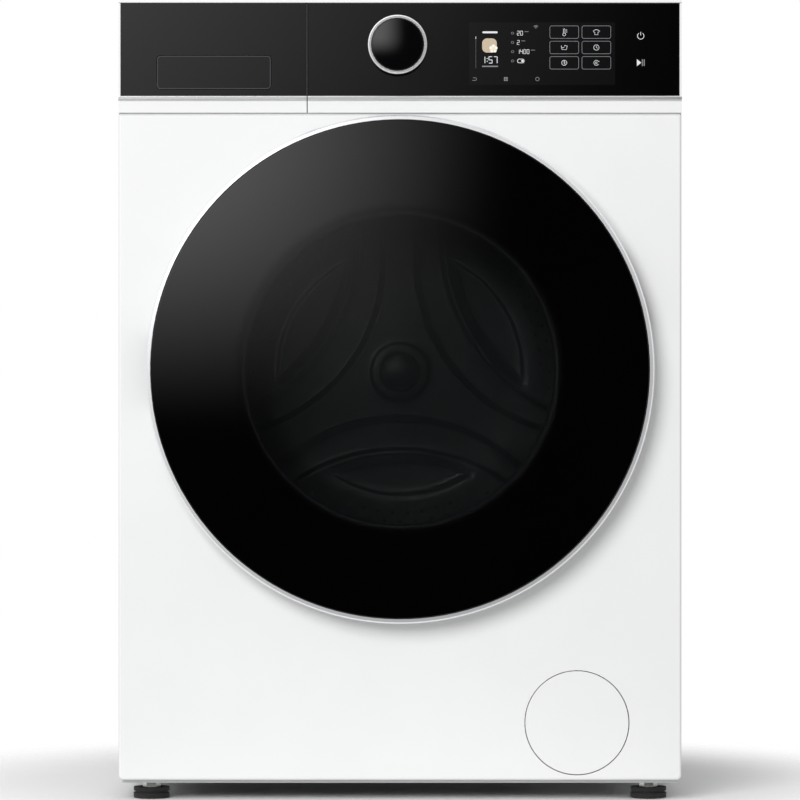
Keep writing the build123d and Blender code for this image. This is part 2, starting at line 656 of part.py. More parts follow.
def drain_pump():
    chamber = tube_y(FILTER_X, FILTER_Z, 35, 29, -256, -172)
    volute = rod_y(FILTER_X, FILTER_Z, 37, -172, -148)
    motor = block(FILTER_X - 26, FILTER_X + 26, -148, -88, FILTER_Z - 24, FILTER_Z + 24)
    outlet = rod_z(FILTER_X - 20, -160, 10, FILTER_Z + 25, FILTER_Z + 58)
    inlet = rod_x(FILTER_X - 62, FILTER_X - 30, -205, FILTER_Z + 8, 16)
    feet = block(FILTER_X - 30, FILTER_X + 30, -228, -100, BASE_TOP, FILTER_Z - 22)
    feet = feet - rod_y(FILTER_X, FILTER_Z, 29, -257, -170)
    return chamber + volute + motor + outlet + (inlet - rod_y(FILTER_X, FILTER_Z, 29, -257, -172)) + feet


# ---------------------------------------------------------------- tub


def tub_front():
    inner = TUB_RADIUS - TUB_WALL
    shell = turned([
        (TUB_RADIUS, TUB_SPLIT_Y - 6), (TUB_RADIUS, TUB_FRONT_Y + 10), (TUB_RADIUS - 10, TUB_FRONT_Y),
        (NECK_RADIUS, TUB_FRONT_Y), (NECK_RADIUS, NECK_FRONT_Y), (NECK_RADIUS - 4, NECK_FRONT_Y),
        (NECK_RADIUS - 4, TUB_FRONT_Y + 4), (inner - 8, TUB_FRONT_Y + 4), (inner, TUB_FRONT_Y + 12),
        (inner, TUB_SPLIT_Y), (TUB_RADIUS + 8, TUB_SPLIT_Y), (TUB_RADIUS + 8, TUB_SPLIT_Y - 6),
    ])
    for x in (-14, 14):
        shell = shell - rod_y(x, DOOR_Z - 260, 3.6, TUB_FRONT_Y - 5, TUB_FRONT_Y + 14)
    return shell


def tub_rear():
    inner = TUB_RADIUS - TUB_WALL
    back_in = TUB_BACK_Y - 5
    shell = turned([
        (TUB_RADIUS + 8, TUB_SPLIT_Y), (inner, TUB_SPLIT_Y), (inner, back_in - 8), (inner - 8, back_in),
        (SHAFT_RADIUS + 5, back_in), (SHAFT_RADIUS + 5, TUB_BACK_Y), (31, TUB_BACK_Y), (31, 198), (45, 198),
        (60, TUB_BACK_Y), (TUB_RADIUS - 10, TUB_BACK_Y), (TUB_RADIUS, TUB_BACK_Y - 10),
        (TUB_RADIUS, TUB_SPLIT_Y + 6), (TUB_RADIUS + 8, TUB_SPLIT_Y + 6),
    ])
    for i in range(12):
        x, z = polar(155, 30 * i)
        rib = Pos(x, TUB_BACK_Y + 6, z) * Rot(0, -30 * i, 0) * Box(200, 13, 4)
        shell = shell + rib
    mount = block(-45, 45, 75, 155, MOTOR_Z + MOTOR_RADIUS + 2, DOOR_Z - TUB_RADIUS + 10)
    shell = shell + (mount - rod_y(0, DOOR_Z, TUB_RADIUS - 1, 0, 200))
    for side in (-1, 1):
        x = side * SPRING_X
        ear = block(x - 9, x + 9, SPRING_Y - 10, SPRING_Y + 10, DOOR_Z + 120, SPRING_LOW - 0.4)
        shell = shell + (ear - rod_y(0, DOOR_Z, TUB_RADIUS - 1, 0, 200))
        for y in DAMPER_YS:
            x = side * DAMPER_X
            lug = block(x - 9, x + 9, y - 9, y + 9, 272, DOOR_Z - 140)
            shell = shell + (lug - rod_y(0, DOOR_Z, TUB_RADIUS - 1, -20, 200))
    return shell


def counterweight_upper():
    slab = block(-90, 210, -170, -32, 690, 798)
    slab = fillet(slab.edges().filter_by(Axis.Z), 14)
    return slab - rod_y(0, DOOR_Z, TUB_RADIUS, -200, 0)


def counterweight_front():
    ring = tube_y(0, DOOR_Z, 252, 204, -236, TUB_FRONT_Y)
    lower = block(-300, 300, -240, -180, 0, DOOR_Z - 70)
    return ring & lower


def tub_bearings():
    rings = []
    for y in (TUB_BACK_Y + 0.5, TUB_BACK_Y + 14):
        ring = tube_y(0, DOOR_Z, 30.98, SHAFT_RADIUS + RUN_CLEARANCE, y, y + 13)
        rings.append(ring - tube_y(0, DOOR_Z, 27, 20, y - 1, y + 1))
    return Compound(children=rings)


def heater():
    z = DOOR_Z - 260
    rods = [rod_y(x, z, 3.6, TUB_FRONT_Y - 8, 100) for x in (-14, 14)]
    bend = Pos(0, 100, z) * extrude(Circle(17.6) - Circle(10.4), amount=3.6, both=True)
    bend = bend & block(-20, 20, 100, 120, z - 5, z + 5)
    plate = block(-22, 22, TUB_FRONT_Y - 4, TUB_FRONT_Y, z - 5, z + 5)
    return join(rods) + bend + plate


def motor():
    case = rod_y(0, MOTOR_Z, MOTOR_RADIUS, 60, 185)
    pad = block(-45, 45, 75, 155, MOTOR_Z + 30, MOTOR_Z + MOTOR_RADIUS + 2)
    plug = block(-20, 20, 48, 62, MOTOR_Z - 12, MOTOR_Z + 12)
    return case + pad + plug - rod_y(0, MOTOR_Z, MOTOR_SHAFT_RADIUS + RUN_CLEARANCE, 150, 190)


def motor_pulley():
    end = PULLEY_FRONT_Y + PULLEY_WIDTH
    shaft = rod_y(0, MOTOR_Z, MOTOR_SHAFT_RADIUS, 150.5, end)
    pulley = rod_y(0, MOTOR_Z, MOTOR_PULLEY_RADIUS, PULLEY_FRONT_Y, end)
    flat = block(-9, 9, end - 3, end + 4, MOTOR_Z - 6, MOTOR_Z + 6)
    return shaft + pulley + flat


def belt_loop(gap, y0, y1):
    """Solid filling the belt line at a distance outside both pulleys."""
    big = PULLEY_RADIUS + gap
    small = MOTOR_PULLEY_RADIUS + gap
    centres = DOOR_Z - MOTOR_Z
    drop = -(big - small) / centres
    side = math.sqrt(1 - drop * drop)
    web = Polyline(
        (big * side, DOOR_Z + big * drop), (small * side, MOTOR_Z + small * drop),
        (-small * side, MOTOR_Z + small * drop), (-big * side, DOOR_Z + big * drop), close=True)
    loop = plate_xz(make_face(web), y0, y1)
    return loop + rod_y(0, DOOR_Z, big, y0, y1) + rod_y(0, MOTOR_Z, small, y0, y1)


def drive_belt():
    y0 = PULLEY_FRONT_Y + 1
    y1 = PULLEY_FRONT_Y + PULLEY_WIDTH - 1
    return belt_loop(BELT_GAP + BELT_THICKNESS, y0, y1) - belt_loop(BELT_GAP, y0 - 1, y1 + 1)


# ---------------------------------------------------------------- drum


def drum_shell():
    outer = DRUM_RADIUS + DRUM_SHEET
    return turned([
        (outer, DRUM_BACK_Y), (outer, -152), (242, -167), (172, DRUM_FRONT_Y), (MOUTH_RADIUS, -173),
        (MOUTH_RADIUS, -169), (MOUTH_RADIUS + 1.2, -169), (MOUTH_RADIUS + 1.2, -172.4),
        (172, DRUM_FRONT_Y + 1.3), (241, -165.7), (DRUM_RADIUS, -151.4), (DRUM_RADIUS, DRUM_BACK_Y),
    ])


def drum_back():
    plate = tube_y(0, DOOR_Z, DRUM_RADIUS - 0.05, SHAFT_RADIUS, DRUM_BACK_Y - 1.5, DRUM_BACK_Y)
    for angle in ARM_ANGLES:
        x, z = polar(135, angle)
        arm = Pos(x, DRUM_BACK_Y - 4, z) * Rot(0, -angle, 0) * Box(190, 6, 34)
        plate = plate + arm
    plate = plate + tube_y(0, DOOR_Z, 44, SHAFT_RADIUS, DRUM_BACK_Y - 8, DRUM_BACK_Y)
    return plate


def drum_lifters():
    lifters = []
    for angle in LIFTER_ANGLES:
        ridge = Polyline(
            (255, -34), (255, 34), (238, 30), (204, 14), (197, 6), (197, -6), (204, -14), (238, -30),
            close=True)
        solid = Rot(90, 0, 0) * extrude(make_face(ridge), amount=265)
        solid = Pos(0, 125, DOOR_Z) * Rot(0, -angle, 0) * solid
        lifters.append(solid & rod_y(0, DOOR_Z, DRUM_RADIUS - 0.02, -150, 140))
    return Compound(children=lifters)


def drum_spider():
    hub = tube_y(0, DOOR_Z, 34, SHAFT_RADIUS, DRUM_BACK_Y + 0.1, 162)
    spider = hub
    for angle in ARM_ANGLES:
        outline = Polyline((20, -19), (244, -11), (244, 11), (20, 19), close=True)
        arm = Rot(90, 0, 0) * extrude(make_face(outline), amount=11)
        spider = spider + Pos(0, DRUM_BACK_Y + 11.1, DOOR_Z) * Rot(0, -angle, 0) * arm
    return spider - rod_y(0, DOOR_Z, SHAFT_RADIUS, 100, 200)


def drum_shaft():
    return rod_y(0, DOOR_Z, SHAFT_RADIUS, DRUM_BACK_Y - 1.5, PULLEY_FRONT_Y + PULLEY_WIDTH + 6)


def drum_pulley():
    y0 = PULLEY_FRONT_Y
    y1 = y0 + PULLEY_WIDTH
    rim = tube_y(0, DOOR_Z, PULLEY_RADIUS, PULLEY_RADIUS - 9, y0, y1)
    hub = tube_y(0, DOOR_Z, 28, SHAFT_RADIUS, y0, y1)
    pulley = rim + hub
    for i in range(6):
        x, z = polar(81, 60 * i + 30)
        spoke = Pos(x, (y0 + y1) / 2, z) * Rot(0, -(60 * i + 30), 0) * Box(116, 6, 20)
        pulley = pulley + spoke
    return pulley - rod_y(0, DOOR_Z, SHAFT_RADIUS, y0 - 1, y1 + 1)


# ---------------------------------------------------------------- suspension


def suspension_springs():
    springs = []
    for side in (-1, 1):
        x = side * SPRING_X
        coil = rod_z(x, SPRING_Y, 11, SPRING_LOW + 16, SPRING_HIGH - 16)
        eyes = rod_z(x, SPRING_Y, 2.5, SPRING_LOW, SPRING_HIGH)
        springs.append(coil + eyes)
    return Compound(children=springs)


def damper_cylinders():
    cylinders = []
    for side in (-1, 1):
        for y in DAMPER_YS:
            x = side * DAMPER_X
            case = rod_z(x, y, DAMPER_RADIUS, BASE_TOP - 4, 175)
            cylinders.append(case - rod_z(x, y, DAMPER_RADIUS - 3, BASE_TOP + 6, 176))
    return Compound(children=cylinders)


def damper_rods():
    rods = []
    for side in (-1, 1):
        for y in DAMPER_YS:
            x = side * DAMPER_X
            rods.append(rod_z(x, y, DAMPER_ROD_RADIUS, 80, 272) + rod_z(x, y, DAMPER_RADIUS - 3.6, 78, 112))
    return Compound(children=rods)


# ---------------------------------------------------------------- rear connections


def inlet_valve():
    body = block(INLET_X - 24, INLET_X + 24, 222, REAR_Y - SHEET, INLET_Z - 22, INLET_Z + 22)
    thread = rod_y(INLET_X, INLET_Z, INLET_RADIUS, REAR_Y - SHEET - 1, BACK_Y)
    coil = rod_z(INLET_X, 240, 13, INLET_Z - 50, INLET_Z - 20)
    spout = rod_y(INLET_X, INLET_Z, 7, 196, 224)
    bore = rod_y(INLET_X, INLET_Z, 9.5, REAR_Y - 12, BACK_Y + 1)
    return body + thread + coil + spout - bore


def drain_outlet():
    flange = rod_y(OUTLET_X, OUTLET_Z, 18, REAR_Y, REAR_Y + 2.5)
    nozzle = rod_y(OUTLET_X, OUTLET_Z, OUTLET_RADIUS, REAR_Y - 26, BACK_Y)
    return flange + nozzle - rod_y(OUTLET_X, OUTLET_Z, 7, REAR_Y - 30, BACK_Y + 1)


def cord_gland():
    flange = rod_y(GLAND_X, GLAND_Z, 14, REAR_Y, REAR_Y + 4)
    barrel = rod_y(GLAND_X, GLAND_Z, 8.8, REAR_Y - 8, REAR_Y + 10)
    return flange + barrel - rod_y(GLAND_X, GLAND_Z, GLAND_BORE, REAR_Y - 10, REAR_Y + 12)


# ---------------------------------------------------------------- write the nodes

os.makedirs("parts", exist_ok=True)

save("front_panel", front_panel())
save("left_side_panel", side_panel(-1))
save("right_side_panel", side_panel(1))
save("rear_panel", rear_panel())
save("cabinet_screws", cabinet_screws())
save("worktop", worktop())
save("base_frame", base_frame())
save("cross_braces", cross_braces())
save("control_fascia", control_fascia())
save("control_glass", control_glass())
save("fascia_trim", trim_bar(SEAM_X + SEAM_GAP, HALF_WIDTH))
save("display_module", display_module())
save("control_board", control_board())
save("dispenser_housing", dispenser_housing())
save("inlet_valve", inlet_valve())
save("door_hinge_plate", door_hinge_plate())
save("door_lock", door_lock())
save("drain_pump", drain_pump())
save("door_seal", door_seal())
save("drain_outlet", drain_outlet())
save("cord_gland", cord_gland())
save("suspension_springs", suspension_springs())
save("damper_cylinders", damper_cylinders())
save("door_outer_glass", door_outer_glass())
save("door_trim_ring", door_trim_ring())
save("door_frame", door_frame())
save("door_glass_bowl", door_glass_bowl())
save("door_hinge_leaf", door_hinge_leaf())
save("door_screws", door_screws())
save("latch_hook", latch_hook())
save("drawer_front", drawer_front())
save("drawer_glass", drawer_glass())
save("drawer_trim", trim_bar(-HALF_WIDTH + 0.2, SEAM_X - SEAM_GAP))
save("drawer_tray", drawer_tray())
save("siphon_cap", siphon_cap())
save("drawer_grip_flap", drawer_grip_flap())
save("knob_cap", knob_cap())
save("knob_ring", knob_ring())
save("filter_flap", filter_flap())
save("pump_filter_plug", pump_filter_plug())
save("tub_front", tub_front())
save("tub_rear", tub_rear())
save("counterweight_upper", counterweight_upper())
save("counterweight_front", counterweight_front())
save("tub_bearings", tub_bearings())
save("heater", heater())
save("motor", motor())
save("drive_belt", drive_belt())
save("damper_rods", damper_rods())
save("drum_shell", drum_shell())
save("drum_back", drum_back())
save("drum_lifters", drum_lifters())
save("drum_spider", drum_spider())
save("drum_shaft", drum_shaft())
save("drum_pulley", drum_pulley())
save("motor_pulley", motor_pulley())
for side_name, place in zip(("front_left", "front_right", "rear_left", "rear_right"), foot_places()):
    save("foot_" + side_name, foot(*place))
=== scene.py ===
import math

import bmesh
import bpy
from mathutils import Matrix, Vector

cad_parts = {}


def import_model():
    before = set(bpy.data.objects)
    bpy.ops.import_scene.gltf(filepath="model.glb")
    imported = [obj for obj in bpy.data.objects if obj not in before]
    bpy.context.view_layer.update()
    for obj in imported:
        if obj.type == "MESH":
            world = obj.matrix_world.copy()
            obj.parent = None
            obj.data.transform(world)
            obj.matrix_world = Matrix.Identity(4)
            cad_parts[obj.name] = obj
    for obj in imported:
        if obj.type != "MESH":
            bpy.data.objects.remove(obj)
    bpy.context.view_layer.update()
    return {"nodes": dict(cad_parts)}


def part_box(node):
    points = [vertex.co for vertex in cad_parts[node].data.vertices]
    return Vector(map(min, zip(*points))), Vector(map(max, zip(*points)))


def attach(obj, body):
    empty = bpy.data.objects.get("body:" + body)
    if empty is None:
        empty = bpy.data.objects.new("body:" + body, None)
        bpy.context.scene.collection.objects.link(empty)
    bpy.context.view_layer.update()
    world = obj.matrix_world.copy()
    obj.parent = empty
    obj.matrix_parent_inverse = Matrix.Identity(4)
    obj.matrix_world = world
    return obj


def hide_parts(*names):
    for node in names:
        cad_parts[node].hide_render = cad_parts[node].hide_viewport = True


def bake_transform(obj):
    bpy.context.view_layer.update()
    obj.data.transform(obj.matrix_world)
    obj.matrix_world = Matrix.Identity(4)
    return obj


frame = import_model()
MM = 0.001
FILM = 0.06 * MM

# ------------------------------------------------------------ places taken from the frame


def middle(node):
    low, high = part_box(node)
    return (low + high) / 2


GLASS_LOW, GLASS_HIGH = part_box("control_glass")
GLASS_Y = GLASS_LOW.y
DOOR = middle("door_trim_ring")
DOOR_Z = DOOR.z
DRUM_LOW, DRUM_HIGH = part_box("drum_shell")
DRUM_RADIUS = (DRUM_HIGH.x - DRUM_LOW.x) / 2 - 1.2 * MM
PANEL_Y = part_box("front_panel")[0].y
TOP_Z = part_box("worktop")[1].z

# ------------------------------------------------------------ node helpers


def new_material(name):
    mat = bpy.data.materials.new(name)
    mat.use_nodes = True
    tree = mat.node_tree
    shader = tree.nodes["Principled BSDF"]
    return mat, tree, shader


def texture(tree, kind, scale, detail=2.0, stretch=None):
    """Noise, Voronoi or wave in object space, in metres."""
    coord = tree.nodes.new("ShaderNodeTexCoord")
    tex = tree.nodes.new(kind)
    tex.inputs["Scale"].default_value = scale
    if "Detail" in tex.inputs:
        tex.inputs["Detail"].default_value = detail
    source = coord.outputs["Object"]
    if stretch:
        mapping = tree.nodes.new("ShaderNodeMapping")
        mapping.inputs["Scale"].default_value = stretch
        tree.links.new(source, mapping.inputs["Vector"])
        source = mapping.outputs["Vector"]
    tree.links.new(source, tex.inputs["Vector"])
    return tex


def tint(tree, shader, fac, low, high, dark, light):
    """Colour that varies between two shades with a texture's value."""
    ramp = tree.nodes.new("ShaderNodeValToRGB")
    ramp.color_ramp.elements[0].position = low
    ramp.color_ramp.elements[0].color = (*dark, 1)
    ramp.color_ramp.elements[1].position = high
    ramp.color_ramp.elements[1].color = (*light, 1)
    tree.links.new(fac, ramp.inputs["Fac"])
    tree.links.new(ramp.outputs["Color"], shader.inputs["Base Color"])


def roughen(tree, shader, fac, low, high):
    """Roughness that varies between two values with a texture's value."""
    spread = tree.nodes.new("ShaderNodeMapRange")
    spread.inputs["To Min"].default_value = low
    spread.inputs["To Max"].default_value = high
    tree.links.new(fac, spread.inputs["Value"])
    tree.links.new(spread.outputs["Result"], shader.inputs["Roughness"])


def ramp(tree, value, start, end, at_start=0.0, at_end=1.0):
    """Smooth step from at_start to at_end as the value goes from start to end."""
    spread = tree.nodes.new("ShaderNodeMapRange")
    spread.interpolation_type = "SMOOTHSTEP"
    spread.inputs["From Min"].default_value = start
    spread.inputs["From Max"].default_value = end
    spread.inputs["To Min"].default_value = at_start
    spread.inputs["To Max"].default_value = at_end
    tree.links.new(value, spread.inputs["Value"])
    return spread.outputs["Result"]


def distance_from(tree, centre, keep=(1, 1, 1)):
    """Distance of a surface point from a centre, along the axes that keep names."""
    coord = tree.nodes.new("ShaderNodeTexCoord")
    offset = tree.nodes.new("ShaderNodeVectorMath")
    offset.operation = "MULTIPLY_ADD"
    offset.inputs[1].default_value = keep
    offset.inputs[2].default_value = [-c * k for c, k in zip(centre, keep)]
    tree.links.new(coord.outputs["Object"], offset.inputs[0])
    length = tree.nodes.new("ShaderNodeVectorMath")
    length.operation = "LENGTH"
    tree.links.new(offset.outputs["Vector"], length.inputs[0])
    return length.outputs["Value"]


def bump(tree, shader, fac, strength, distance):
    node = tree.nodes.new("ShaderNodeBump")
    node.inputs["Strength"].default_value = strength
    node.inputs["Distance"].default_value = distance
    tree.links.new(fac, node.inputs["Height"])
    tree.links.new(node.outputs["Normal"], shader.inputs["Normal"])


def shade(colour, factor):
    return tuple(min(1.0, c * factor) for c in colour)


def grained(name, colour, rough, grain=900, depth=0.05, mottle=0.03, metal=0.0, coat=0.0):
    """Moulded plastic, paint or rubber: fine surface grain with slow colour and gloss variation."""
    mat, tree, shader = new_material(name)
    slow = texture(tree, "ShaderNodeTexNoise", 9, 3)
    dark, light = shade(colour, 1 - mottle), shade(colour, 1 + mottle)
    tint(tree, shader, slow.outputs["Fac"], 0.35, 0.65, dark, light)
    fine = texture(tree, "ShaderNodeTexNoise", grain, 2)
    roughen(tree, shader, slow.outputs["Fac"], rough * 0.85, rough * 1.15)
    bump(tree, shader, fine.outputs["Fac"], depth, 0.1 * MM)
    shader.inputs["Metallic"].default_value = metal
    if coat:
        shader.inputs["Coat Weight"].default_value = coat
        shader.inputs["Coat Roughness"].default_value = 0.08
    return mat


def brushed(name, colour, rough, stretch, depth=0.08):
    """Metal with fine lines drawn out along one direction."""
    mat, tree, shader = new_material(name)
    lines = texture(tree, "ShaderNodeTexNoise", 1, 4, stretch)
    tint(tree, shader, lines.outputs["Fac"], 0.3, 0.7, shade(colour, 0.9), shade(colour, 1.08))
    roughen(tree, shader, lines.outputs["Fac"], rough * 0.75, rough * 1.25)
    bump(tree, shader, lines.outputs["Fac"], depth, 0.05 * MM)
    shader.inputs["Metallic"].default_value = 1.0
    return mat


def cast(name, colour, rough, scale=220, depth=0.35, metal=1.0, mottle=0.2):
    """Cast metal, galvanising or concrete: coarse skin with uneven colour."""
    mat, tree, shader = new_material(name)
    lumps = texture(tree, "ShaderNodeTexNoise", scale, 6)
    dark, light = shade(colour, 1 - mottle), shade(colour, 1 + mottle / 2)
    tint(tree, shader, lumps.outputs["Fac"], 0.3, 0.75, dark, light)
    roughen(tree, shader, lumps.outputs["Fac"], rough * 0.8, rough * 1.2)
    bump(tree, shader, lumps.outputs["Fac"], depth, 0.6 * MM)
    shader.inputs["Metallic"].default_value = metal
    return mat


def gloss_glass(name, colour, rough, ior=1.5, smear=0.02):
    """Black printed or tinted glass: mirror-smooth with faint smears in the gloss."""
    mat, tree, shader = new_material(name)
    smears = texture(tree, "ShaderNodeTexNoise", 6, 4)
    tint(tree, shader, smears.outputs["Fac"], 0.3, 0.7, shade(colour, 0.9), shade(colour, 1.1))
    roughen(tree, shader, smears.outputs["Fac"], rough, rough + smear)
    shader.inputs["IOR"].default_value = ior
    return mat, tree, shader


def tinted_window(name, colour, rough, ior, alpha, clear_radius, print_radius):
    """Door glass: smoked in the middle, printed black round the edge."""
    mat, tree, shader = gloss_glass(name, colour, rough, ior)
    radius = distance_from(tree, DOOR, keep=(1, 0, 1))
    edge = ramp(tree, radius, clear_radius, print_radius, alpha, 1.0)
    tree.links.new(edge, shader.inputs["Alpha"])
    mat.surface_render_method = "BLENDED"
    return mat


def clear_glass(name, colour, rough=0.02):
    """Thick pressed glass with slow waves in its surface."""
    mat, tree, shader = new_material(name)
    waves = texture(tree, "ShaderNodeTexNoise", 12, 2)
    tint(tree, shader, waves.outputs["Fac"], 0.3, 0.7, shade(colour, 0.97), shade(colour, 1.03))
    bump(tree, shader, waves.outputs["Fac"], 0.02, 1 * MM)
    shader.inputs["Roughness"].default_value = rough
    shader.inputs["IOR"].default_value = 1.5
    shader.inputs["Alpha"].default_value = 0.2
    mat.surface_render_method = "BLENDED"
    return mat


def lit(name, colour, strength):
    """Printed or lit marks on the glass; also the faintly glowing grey lines that are painted highlights at
    the flap and drawer-glass edges.
    """
    mat, tree, shader = new_material(name)
    grain = texture(tree, "ShaderNodeTexNoise", 3000, 1)
    tint(tree, shader, grain.outputs["Fac"], 0.3, 0.7, shade(colour, 0.92), colour)
    shader.inputs["Emission Color"].default_value = (*colour, 1)
    shader.inputs["Emission Strength"].default_value = strength
    shader.inputs["Roughness"].default_value = 0.4
    return mat


WHITE = (0.86, 0.865, 0.865)
PAINT = grained("white_enamel", WHITE, 0.32, grain=700, depth=0.10, mottle=0.008, coat=0.25)
FLAP_PAINT = grained("white_flap", shade(WHITE, 0.985), 0.34, grain=900, depth=0.06, mottle=0.008)
LAMINATE = grained("worktop_white", WHITE, 0.42, grain=1400, depth=0.10, mottle=0.01)
WHITE_ABS = grained("white_plastic", shade(WHITE, 0.99), 0.34, grain=1600, depth=0.05, mottle=0.008)
TRAY_ABS = grained("tray_plastic", shade(WHITE, 0.92), 0.38, grain=1600, depth=0.05, mottle=0.015)
BLACK_GLASS = gloss_glass("black_panel_glass", (0.0012, 0.0012, 0.0014), 0.05)[0]
BLACK_GLOSS = gloss_glass("black_gloss", (0.002, 0.002, 0.0024), 0.08)[0]
WINDOW_RADIUS = 160 * MM
PRINT_RADIUS = 178 * MM
DOOR_GLASS = tinted_window("door_smoked_glass", (0.0008, 0.0008, 0.001), 0.03, 1.52, 0.52,
                           WINDOW_RADIUS, PRINT_RADIUS)
BOWL_GLASS = clear_glass("door_bowl_glass", (0.30, 0.33, 0.34))
SATIN = grained("satin_silver", (0.93, 0.93, 0.94), 0.30, grain=2000, depth=0.01, mottle=0.02, metal=1.0)
RING_METAL = grained("door_ring_silver", (0.92, 0.925, 0.94), 0.24, 2000, 0.01, 0.015, metal=1.0)
KNOB_METAL = grained("knob_silver", (0.95, 0.95, 0.96), 0.2, 2000, 0.01, 0.015, metal=1.0)
GALVANISED = cast("galvanised_steel", (0.60, 0.61, 0.62), 0.42, scale=90, depth=0.04, mottle=0.06)
ZINC = cast("zinc_plated", (0.78, 0.78, 0.76), 0.33, scale=420, depth=0.06)
STEEL = brushed("bright_steel", (0.6, 0.6, 0.615), 0.25, (900, 900, 60))
DRUM_STEEL = brushed("drum_steel", (0.52, 0.525, 0.535), 0.34, (20, 900, 20), 0.04)
DRUM_DISC = brushed("drum_back_steel", (0.82, 0.825, 0.835), 0.24, (60, 60, 60), 0.02)
ALLOY = cast("cast_alloy", (0.55, 0.56, 0.57), 0.45, scale=300, depth=0.2)
MOTOR_ALLOY = cast("motor_alloy", (0.42, 0.43, 0.44), 0.5, scale=350, depth=0.22)
CONCRETE = cast("concrete", (0.42, 0.41, 0.39), 0.92, scale=260, depth=0.7, metal=0.0)
BASE_PP = grained("base_plastic", (0.60, 0.605, 0.61), 0.5, grain=500, depth=0.22, mottle=0.02)
GREY_PP = grained("grey_plastic", (0.36, 0.37, 0.385), 0.5, grain=500, depth=0.22, mottle=0.03)
TUB_PP = grained("tub_plastic", (0.30, 0.315, 0.33), 0.55, grain=300, depth=0.3, mottle=0.05)
BLACK_PP = grained("black_plastic", (0.018, 0.018, 0.019), 0.46, grain=900, depth=0.25, mottle=0.06)
PUMP_PP = grained("pump_plastic", (0.06, 0.06, 0.064), 0.5, grain=500, depth=0.3, mottle=0.05)
LIFTER_PP = grained("lifter_plastic", (0.55, 0.56, 0.575), 0.4, grain=700, depth=0.15, mottle=0.02)
SEAL_RUBBER = grained("door_seal_rubber", (0.24, 0.245, 0.25), 0.62, grain=650, depth=0.3, mottle=0.06)
BLACK_RUBBER = grained("black_rubber", (0.012, 0.012, 0.012), 0.7, grain=450, depth=0.45, mottle=0.12)
BELT = grained("belt_rubber", (0.014, 0.014, 0.014), 0.66, grain=300, depth=0.5, mottle=0.1)
HOSE = grained("hose_rubber", (0.028, 0.028, 0.03), 0.6, grain=380, depth=0.4, mottle=0.08)
BLUE_ABS = grained("blue_plastic", (0.10, 0.26, 0.52), 0.35, grain=900, depth=0.08, mottle=0.03)
BOARD = grained("circuit_board", (0.02, 0.13, 0.05), 0.42, grain=260, depth=0.3, mottle=0.15)
MARK = lit("panel_marks", (0.62, 0.63, 0.65), 0.30)
MARK_DIM = lit("panel_marks_dim", (0.22, 0.225, 0.24), 0.07)
# painted highlight: faintly glowing grey line for light caught by the edge of the grip flap
FLAP_HIGHLIGHT = lit("flap_edge_painted_highlight", (0.055, 0.055, 0.06), 0.02)
# painted highlight: faintly glowing grey for light caught in the polished edge of the drawer glass
EDGE_GLINT = lit("glass_edge_painted_glint", (0.10, 0.10, 0.105), 0.02)
SCREEN_GLASS = gloss_glass("display_window", (0.0045, 0.0045, 0.005), 0.05)[0]
BEIGE = lit("display_beige", (0.50, 0.41, 0.30), 0.2)
CREAM = lit("display_cream", (0.75, 0.72, 0.64), 0.35)

# ------------------------------------------------------------ carried-over nodes


def finish_node(node, mat, soften=0.0):
    """Gives a CAD node its finish, and breaks its sharp edges with a small radius."""
    obj = frame["nodes"][node]
    obj.data.materials.clear()
    obj.data.materials.append(mat)
    for face in obj.data.polygons:
        face.material_index = 0
    if soften:
        weld = obj.modifiers.new("weld", "WELD")
        weld.merge_threshold = 0.01 * MM
        edge = obj.modifiers.new("edge", "BEVEL")
        edge.width = soften * MM
        edge.segments = 2
        edge.limit_method = "ANGLE"
        edge.angle_limit = math.radians(50)
        edge.use_clamp_overlap = True
        edge.harden_normals = False
    return obj


def second_material(node, mat, test):
    """Gives the faces that pass the test their own finish."""
    obj = frame["nodes"][node]
    obj.data.materials.append(mat)
    for face in obj.data.polygons:
        if test(face.center):
            face.material_index = 1


FEET = ("foot_front_left", "foot_front_right", "foot_rear_left", "foot_rear_right")
FINISHES = [
    (PAINT, 0, ("front_panel", "left_side_panel", "right_side_panel")),
    (LAMINATE, 0, ("worktop",)),
    (WHITE_ABS, 0, ("control_fascia", "drawer_front")),
    (TRAY_ABS, 0.6, ("drawer_tray",)),
    (BLACK_GLASS, 0, ("control_glass", "drawer_glass")),
    (BLACK_GLOSS, 0, ("drawer_grip_flap", "knob_cap", "display_module")),
    (SATIN, 0, ("fascia_trim", "drawer_trim")),
    (RING_METAL, 0, ("door_trim_ring",)),
    (KNOB_METAL, 0, ("knob_ring",)),
    (DOOR_GLASS, 0, ("door_outer_glass",)),
    (GALVANISED, 0, ("rear_panel", "cross_braces", "door_hinge_plate")),
    (ZINC, 0, ("cabinet_screws", "door_screws", "suspension_springs", "door_hinge_leaf")),
    (STEEL, 0, ("damper_rods", "tub_bearings", "heater", "drum_shaft", "motor_pulley")),
    (BASE_PP, 0.6, ("base_frame",)),
    (GREY_PP, 0.6, ("dispenser_housing",)),
    (TUB_PP, 0, ("tub_front", "tub_rear")),
    (BLACK_PP, 0, ("door_frame", "door_lock", "drain_outlet", "cord_gland", "latch_hook",
                   "damper_cylinders")),
    (PUMP_PP, 0.8, ("drain_pump", "inlet_valve", "pump_filter_plug")),
    (BOARD, 0, ("control_board",)),
    (BLUE_ABS, 0.5, ("siphon_cap",)),
    (FLAP_PAINT, 0, ("filter_flap",)),
    (CONCRETE, 4, ("counterweight_upper", "counterweight_front")),
    (MOTOR_ALLOY, 1, ("motor",)),
    (ALLOY, 1, ("drum_spider", "drum_pulley")),
    (BELT, 0, ("drive_belt",)),
    (LIFTER_PP, 3, ("drum_lifters",)),
    (BLACK_RUBBER, 0, FEET),
    (SEAL_RUBBER, 0, ("door_seal",)),
    (DRUM_STEEL, 0, ("drum_shell", "drum_back")),
    (BOWL_GLASS, 0, ("door_glass_bowl",)),
]
for mat, soften, nodes in FINISHES:
    for node in nodes:
        finish_node(node, mat, soften)

